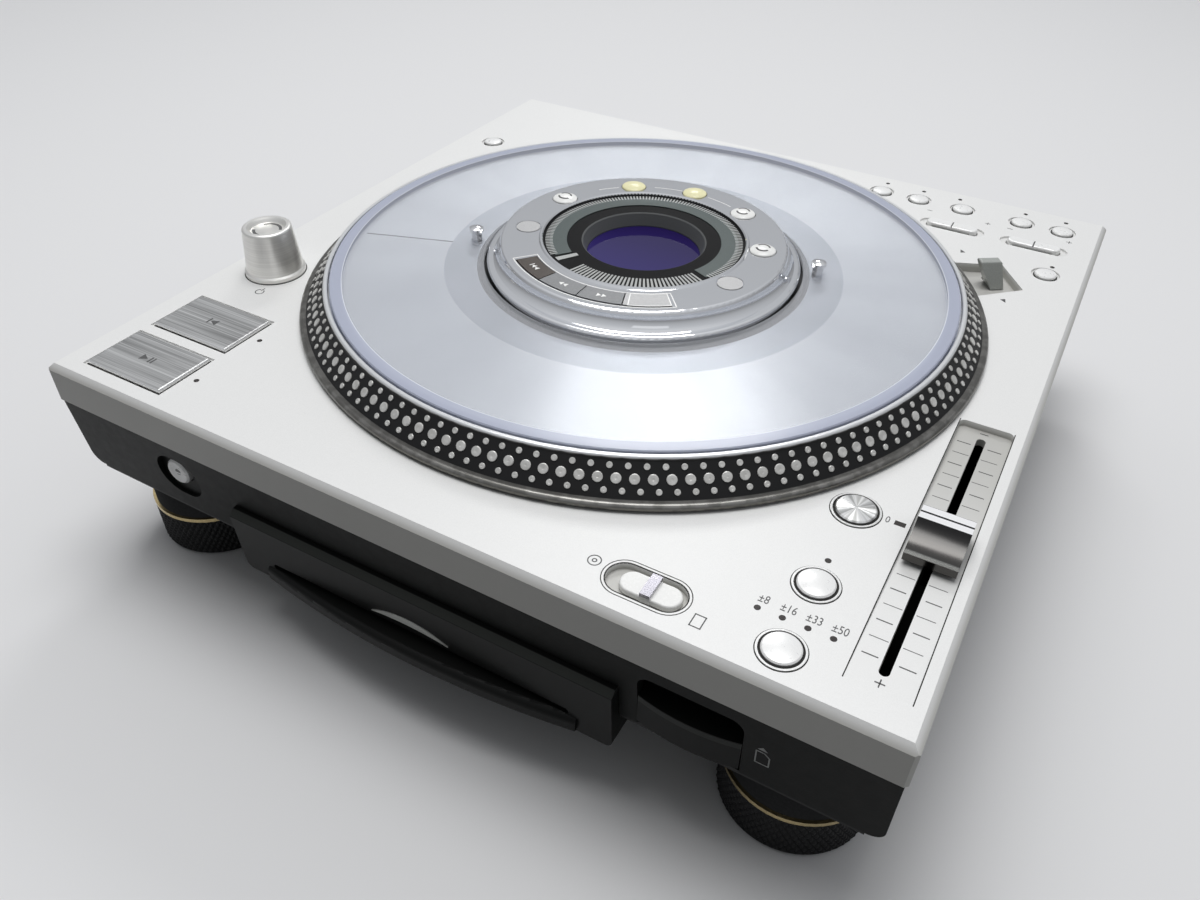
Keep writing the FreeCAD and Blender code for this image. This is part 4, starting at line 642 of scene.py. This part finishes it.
cap_chrome = Finish("fader_cap_chrome", (0.30, 0.30, 0.30), 0.2, 1.0)
cap_y = cap_chrome.point.axis("Y")
cap_z = cap_chrome.point.axis("Z")
on_top = cap_z.ease(94.0 * MM, 94.4 * MM)
index_line = cap_y.band(-86.0 * MM, -85.1 * MM) * on_top
white_band = cap_y.band(-88.9 * MM, -82.1 * MM) * on_top
# Painted light: the chrome is dark over its hollow front and darker still deeper in, as painted shade, and
# paler along the front lip, as a painted highlight.
lip_highlight = cap_y.band(-101.3 * MM, -99.6 * MM) * cap_z.ease(91.0 * MM, 91.4 * MM)
hollow_shade = cap_y.ease(-100 * MM, -89 * MM).mix((0.085, 0.082, 0.078), (0.028, 0.028, 0.028))
cap_color = lip_highlight.mix(hollow_shade, (0.20, 0.20, 0.19))
cap_color = index_line.mix(white_band.mix(cap_color, (0.90, 0.90, 0.91)), (0.012, 0.012, 0.012))
cap_chrome.vary("Base Color", cap_color)
cap_chrome.vary("Metallic", 1 - white_band * 0.9)
cap_chrome.vary("Roughness", cap_chrome.point.stretched(40, 900, 900).noise(1.0, 2.0) * 0.10 + 0.14)
cap_chrome.on("pitch_fader")


# Selector, lever and knob. A white slider with a silver grip in an oval recess, a painted metal lever
# that leans in, and a turned aluminium knob with a dark ring sign in its sunken crown.

selector_oval = (78.6, -147.8, 25, 11.6)
white_plastic = Finish("white_plastic", (0.82, 0.82, 0.80), 0.3)
raised_part = white_plastic.point.axis("Z").ease(88.3 * MM, 88.5 * MM)
grip = white_plastic.point.axis("X").band(78.45 * MM, 81.75 * MM) * raised_part
white_plastic.vary("Base Color", grip.mix((0.88, 0.88, 0.86), (0.42, 0.41, 0.45)))
white_plastic.vary("Metallic", grip)
white_plastic.vary("Roughness", white_plastic.point.noise(900, 2.0) * 0.1 + 0.22)
white_plastic.on("selector_slider")
# Painted shade: thin dark lines round the oval recess's edge.
ribbons("selector_edge_shade", [pill_line(*selector_oval, 1.05, 1.35), pill_line(*selector_oval, 0.0, 0.35)],
        top + ink_low, top + thin, "chassis", gap_shade)
lever_paint = Finish("lever_paint", (0.36, 0.375, 0.355), 0.35, 0.1)
lever_paint.speckle(2500, 0.08, 0.0, (0.28, 0.42)).on("direction_lever")
knob_metal = Finish("turned_knob", (0.80, 0.79, 0.76), 0.36, 0.85,
                    {"Anisotropic": 0.3, "Anisotropic Rotation": 0.25})
knob_grain = knob_metal.point.stretched(6, 6, 2600).noise(1.0, 2.0)
knob_metal.vary("Roughness", knob_grain * 0.04 + 0.34)
knob_metal.vary("Base Color", knob_grain.ease(0.3, 0.7).mix((0.76, 0.75, 0.72), (0.84, 0.83, 0.80)))
knob_metal.on("power_knob")
knob_x, knob_y = -138.3, -68.1
crown_floor = 106.6 * MM
ribbons("knob_signs", [arc(knob_x, knob_y, 4.7, 5.9, 30, 150), arc(knob_x, knob_y, 4.7, 5.9, 210, 330)],
        crown_floor + ink_low, crown_floor + 0.03 * MM, "power_knob", engraved)
# Painted shade: a thin dark line round the knob's foot on the panel.
ribbons("knob_edge_shade", [arc(knob_x, knob_y, 12.3, 12.65, 0, 360)], top + ink_low, top + thin,
        "chassis", gap_shade)


# Platter. A turned aluminium casting: its upper rim is left bright and its lower lip is dark with worn
# spots, and darker towards its foot. The slope between them is black, and three rows of small polished
# studs stand on the slope. The seat inside the rim is cold silver, as it looks past the edge of the clear
# disc.

axis_mm = -1
axis_y = axis_mm * MM
platter_metal = Finish("turned_platter", (0.52, 0.52, 0.52), 0.26, 1.0, {"Specular IOR Level": 0.25})
from_axis = platter_metal.point.from_point(0, axis_y, 0)
out = from_axis.radius()
level = platter_metal.point.axis("Z")
raised = level.ease(top + 2.9 * MM, top + 3.3 * MM)
seat_edge, rim_edge = 124.3 * MM, 126.5 * MM
seat = out.band(90.0 * MM, seat_edge, 0.1 * MM)
black_part = out.ease(126.4 * MM, 126.6 * MM) * raised + (1 - out.ease(89.9 * MM, 90.1 * MM))
bright_rim = out.band(seat_edge, rim_edge) * raised
wear = from_axis.noise(260, 4.0)
# The lip is darker towards its foot.
lip_top = level.ease(top + 1.2 * MM, top + 2.6 * MM)
lip_color = wear.ease(0.42, 0.62).mix((0.17, 0.166, 0.155), (0.26, 0.255, 0.24))
lip_color = lip_top.mix(wear.ease(0.50, 0.60).mix((0.15, 0.145, 0.13), (0.07, 0.068, 0.062)), lip_color)
metal_color = seat.mix(bright_rim.mix(lip_color, (0.70, 0.71, 0.72)), (0.50, 0.54, 0.66))
platter_metal.vary("Base Color", black_part.mix(metal_color, (0.009, 0.009, 0.0095)))
platter_metal.vary("Metallic", 1 - black_part - bright_rim * 0.55)
platter_metal.vary("Roughness", black_part * 0.18 + 0.30)
platter_metal.on("platter")

slope_low = np.array([134.4 * MM, top + 3.1 * MM])
slope_high = np.array([126.7 * MM, top + 12.1 * MM])
slope_run = (slope_high - slope_low) / np.linalg.norm(slope_high - slope_low)
slope_out = np.array([slope_run[1], -slope_run[0]])
stud_sides = 14
stud_profile = np.array([(1.0, -0.1), (1.0, 0.30), (0.88, 0.40), (0.28, 0.40), (0.20, 0.34)])


def studs(name, along, wide, count, first):
    """Stand a row of flat topped studs on the platter's slope.

    Stud k sits at the angle first + 360 k / count. Each is a stack of rings of points about its own
    axis, which is square to the slope: foot, side, bevel and the small dimple in its top.
    """
    turns = np.radians(first + np.arange(count) * 360 / count)
    outward = np.stack([np.cos(turns), np.sin(turns), np.zeros(count)], 1)
    sideways = np.stack([-np.sin(turns), np.cos(turns), np.zeros(count)], 1)
    upward = np.array([0, 0, 1.0])
    uphill = outward * slope_run[0] + upward * slope_run[1]
    normal = outward * slope_out[0] + upward * slope_out[1]
    far, high = slope_low + slope_run * along
    foot = outward * far + upward * high + np.array([0, axis_y, 0])
    ring = np.arange(stud_sides) * 2 * math.pi / stud_sides
    cosine, sine = np.cos(ring)[None, :, None], np.sin(ring)[None, :, None]
    circle = cosine * uphill[:, None] - sine * sideways[:, None]
    scale = stud_profile[:, 0][None, :, None, None] * wide / 2
    rise = stud_profile[:, 1][None, :, None, None] * MM
    points = foot[:, None, None] + circle[:, None] * scale + normal[:, None, None] * rise
    rows = len(stud_profile)
    k, j, i = np.meshgrid(np.arange(count), np.arange(rows - 1), np.arange(stud_sides), indexing="ij")
    low = (k * rows + j) * stud_sides
    beside = (i + 1) % stud_sides
    above = low + stud_sides
    quads = np.stack([low + i, low + beside, above + beside, above + i], -1).reshape(-1, 4)
    soles = np.arange(count)[:, None] * rows * stud_sides + np.arange(stud_sides)
    lids = soles + (rows - 1) * stud_sides
    faces = quads.tolist() + lids.tolist() + soles.tolist()
    row = add_piece(name, points.reshape(-1, 3).tolist(), faces, "platter_group")
    stud_metal.on(row)


stud_metal = Finish("polished_studs", (0.66, 0.655, 0.63), 0.38, 0.4)
stud_wear = stud_metal.point.noise(420, 2.0)
stud_metal.vary("Base Color", stud_wear.ease(0.3, 0.75).mix((0.58, 0.575, 0.55), (0.74, 0.735, 0.71)))
stud_metal.vary("Roughness", stud_wear * 0.10 + 0.32)
studs("studs_upper", 10.4 * MM, 2.05 * MM, 140, -84.89)
studs("studs_large", 6.5 * MM, 3.4 * MM, 144, -83.37)
studs("studs_lower", 2.65 * MM, 2.05 * MM, 148, -84.41)


# Slipmat and control disc. A thin silver mat lies on the platter, and a clear acrylic disc on it is
# keyed by two pins. Fine turned grooves in the silver draw each lamp out into a radial sheen. The
# mat's top stays 0.06 mm under the disc, because two faces in one plane render as dark wedges.

mat_metal = Finish("grooved_silver", (0.62, 0.645, 0.69), 0.34, 0.80,
                   {"Anisotropic": 0.65, "Anisotropic Rotation": 0.25})
on_mat = mat_metal.point.from_point(0, axis_y, 0)
mat_out = on_mat.radius()
sheen_rays = on_mat.stretched(1, 1, 0).vector("NORMALIZE").noise(5, 1.0)
clouds = on_mat.noise(34, 3.0)
label = 1 - mat_out.ease(79.6 * MM, 80.4 * MM)
mark_turn = math.radians(160.6)
from_mark = on_mat.angle() + mark_turn
mark_width = from_mark.math("ABSOLUTE") * mat_out
mark_line = mat_out.band(80 * MM, 117.4 * MM) * (1 - mark_width.ease(0.38 * MM, 0.54 * MM))
# Painted sheen: the rays, pale and dark by angle round the axis, paint radial streaks of the grooves'
# reflection into the silver's colour; the clouds are its own uneven tone.
silver = (sheen_rays * 0.6 + clouds * 0.4).ease(0.3, 0.7).mix((0.50, 0.525, 0.56), (0.58, 0.605, 0.64))
mat_color = label.mix(silver, clouds.ease(0.3, 0.7).mix((0.33, 0.36, 0.40), (0.40, 0.425, 0.47)))
mat_metal.vary("Base Color", mark_line.mix(mat_color, (0.02, 0.02, 0.025)))
mat_metal.vary("Roughness", sheen_rays * 0.03 + 0.32)
mat_metal.vary("Normal", on_mat.node("ShaderNodeNewGeometry", {}, {}, "True Normal"))
mat_low, mat_high = 99.0 * MM, 100.14 * MM
sheet = ribbons("silver_mat", [arc(0, axis_mm, 66.9, 121.9, 0, 360)], mat_low, mat_high,
                "platter_group", mat_metal)
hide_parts("slipmat")
acrylic = Finish("clear_acrylic", (0.90, 0.92, 0.97), 0.2, 0.0, {"IOR": 1.46})
smear = acrylic.point.noise(22, 3.0)
acrylic_out = acrylic.point.from_point(0, axis_y, 0).radius()
frosted = acrylic_out.ease(119.0 * MM, 119.3 * MM)
frost_line = acrylic_out.band(118.8 * MM, 119.4 * MM, 0.1 * MM)
acrylic_color = frosted.mix((0.90, 0.92, 0.97), (0.47, 0.50, 0.61))
acrylic.vary("Base Color", frost_line.mix(acrylic_color, (0.85, 0.88, 0.94)))
acrylic.vary("Alpha", frosted * 0.64 + 0.20)
acrylic.vary("Roughness", smear * 0.12 + 0.16)
acrylic.vary("Normal", smear.node("ShaderNodeNewGeometry", {}, {}, "True Normal"))
acrylic.on("clear_disc")


# Hub. A polished chrome dish that stays still while the platter turns, with domed keys round its
# ring, two grey blanks, four keys in one arc at the front, and a black bezel round the display.

hub_chrome = Finish("hub_chrome", (0.84, 0.85, 0.87), 0.06, 1.0)
hub_chrome.vary("Roughness", hub_chrome.point.noise(30, 1.0) * 0.02 + 0.04)
hub_chrome.on("hub_shell")
bezel = Finish("bezel_black", (0.005, 0.005, 0.0055), 0.30, 0.0, {"Specular IOR Level": 0.04})
bezel_out = bezel.point.from_point(0, axis_y, 0).radius()
well = bezel_out.band(22.0 * MM, 24.9 * MM, 0.15 * MM)
bezel.vary("Base Color", well.mix((0.005, 0.005, 0.0055), (0.13, 0.135, 0.135)))
bezel.vary("Roughness", bezel.point.noise(500, 2.0) * 0.08 + 0.26)
bezel.on("display_bezel")
window = Finish("display_window", (0.012, 0.006, 0.060), 0.06, 0.0,
                {"Specular IOR Level": 0.30, "Emission Strength": 0.35})
# Painted light: the glass glows brighter towards the front as a painted reflection, and dimmer at the back
# as painted shade.
painted_reflection_glow = window.point.axis("Y").ease(20 * MM, -24 * MM)
window.vary("Emission Color", painted_reflection_glow.mix((0.008, 0.004, 0.045), (0.045, 0.036, 0.20)))
window.vary("Roughness", window.point.noise(80, 2.0) * 0.04 + 0.04)
window.on("display_glass")
white_key = Finish("white_key", (0.88, 0.88, 0.86), 0.22).speckle(1500, 0.03)
yellow_key = Finish("yellow_key", (0.86, 0.82, 0.50), 0.24).speckle(1500, 0.04)
brown_key = Finish("brown_key", (0.060, 0.047, 0.038), 0.3, 0.0, {"Specular IOR Level": 0.3})
brown_key.speckle(1500, 0.1)
grey_key = Finish("grey_key", (0.20, 0.205, 0.21), 0.4, 0.2).speckle(1500, 0.06)
silver_key = Finish("silver_key", (0.46, 0.46, 0.46), 0.45, 0.2).speckle(1500, 0.05)
white_key.on("hub_button_1", "hub_button_4", "hub_button_5")
yellow_key.on("hub_button_2", "hub_button_3")
brown_key.on("sector_button_1")
grey_key.on("sector_button_2", "sector_button_3")
silver_key.on("sector_button_4")

scale_high = 109.8 * MM
green_print = Finish("grey_green_print", (0.075, 0.095, 0.092), 0.35, 0.0, {"Specular IOR Level": 0.2})
green_print.speckle(2500, 0.1)
print_high = 0.03 * MM


def hub_arc(inner, outer, start, end):
    """Give a ring sector round the hub's axis."""
    return arc(0, axis_mm, inner, outer, start, end)


def on_ring(radius, angle):
    """Give the place at a radius and an angle round the hub's axis."""
    turn = math.radians(angle)
    return radius * math.cos(turn), axis_mm + radius * math.sin(turn)


def arc_frame(inner, outer, start, end, thick):
    """Give the four lines of a bowed frame: two arcs and, half a degree wide, its two ends."""
    bows = [hub_arc(inner, inner + thick, start, end), hub_arc(outer - thick, outer, start, end)]
    ends = [hub_arc(inner, outer, start - 0.4, start + 0.1), hub_arc(inner, outer, end - 0.1, end + 0.4)]
    return bows + ends


ribbons("tick_band", [hub_arc(30.8, 37.6, -24, 232)], scale_high - 0.3 * MM, scale_high + print_high,
        "chassis", green_print)
fine = [hub_arc(36.4, 39.3, a - 0.45, a + 0.45) for a in np.arange(-22, 231, 2.0)]
ribbons("fine_ticks", fine, scale_high - 0.2 * MM, scale_high + 0.05 * MM, "chassis", pale_ink)
bold = [hub_arc(32.0, 39.2, a - 0.62, a + 0.62) for a in np.arange(-108, -28, 2.4)]
bold += [hub_arc(29.5, 38.4, -125.5, -121.5)]
ribbons("bold_ticks", bold, scale_high - 0.3 * MM, scale_high + print_high, "chassis", pale_ink)

ring_face = 110.6 * MM
round_radius, sector_radius = 47.2, 49.4
blank_keys = [dot(*on_ring(round_radius, angle), 4.8) for angle in (-20, -160)]
ribbons("blank_plugs", blank_keys, ring_face - 0.5 * MM, ring_face + 0.1 * MM, "chassis", silver_key)
hub_lines = [hub_arc(47.0, 47.35, start, end) for start, end in ((97, 112), (67, 82), (131, 142))]
hub_lines += arc_frame(44.3, 54.5, -129.8, -50.2, 0.4)
ribbons("hub_lines", hub_lines, ring_face - 0.1 * MM, ring_face + print_high, "chassis", white_key)

for number, angle in ((1, 163), (4, 57), (5, 17)):
    x, y = on_ring(round_radius, angle)
    ribbons("hub_sign_%d" % number, [arc(x, y, 2.1, 2.9, 205, 335), arc(x, y, 2.1, 2.9, 25, 155)],
            111.4 * MM, 112.08 * MM, "hub_button_%d" % number, ink)
key_face = 110.9 * MM
for number, (angle, turn) in enumerate(((-118.7, 180), (-99.6, 180), (-80.4, 0)), 1):
    x, y = on_ring(sector_radius, angle)
    heading = turn + angle + 90
    c, s = math.cos(math.radians(heading)), math.sin(math.radians(heading))
    shapes = [arrowhead(x + shift * c, y + shift * s, 1.7, 2.2, heading) for shift in (-1.1, 0.9)]
    if number == 1:
        shapes.append(bar(x + 2.3 * c, y + 2.3 * s, 0.4, 2.2, heading))
    ribbons("skip_sign_%d" % number, shapes, key_face - 0.1 * MM, key_face + print_high,
            "sector_button_%d" % number, white_key)
ribbons("last_key_frame", arc_frame(45.1, 53.65, -68.5, -52, 0.35), key_face - 0.1 * MM,
        key_face + print_high, "sector_button_4", white_key)


# Inside. Motor, loader, boards and supply, which only show when the player is taken apart.

plated = Finish("plated_sheet", (0.50, 0.51, 0.52), 0.38, 0.9).speckle(700, 0.08, 0.0, (0.28, 0.46))
plated.on("loader_chassis", "motor_pan", "bearing_post", "clamp_arm", "loader_motor")
Finish("sintered_magnet", (0.10, 0.10, 0.105), 0.55).speckle(1200, 0.15).on("rotor_magnet")
Finish("copper_winding", (0.48, 0.20, 0.08), 0.3, 0.9).speckle(2500, 0.25).on("motor_stator")
Finish("roller_rubber", (0.05, 0.05, 0.05), 0.7).speckle(900, 0.2).on("feed_roller")
Finish("acetal", (0.75, 0.74, 0.69), 0.4).speckle(900, 0.05).on("drive_gear", "disc_turntable")
Finish("sled_plastic", (0.04, 0.04, 0.04), 0.4).speckle(900, 0.15).on("pickup_sled")
Finish("green_board", (0.02, 0.11, 0.05), 0.3).speckle(500, 0.3).on("circuit_boards")
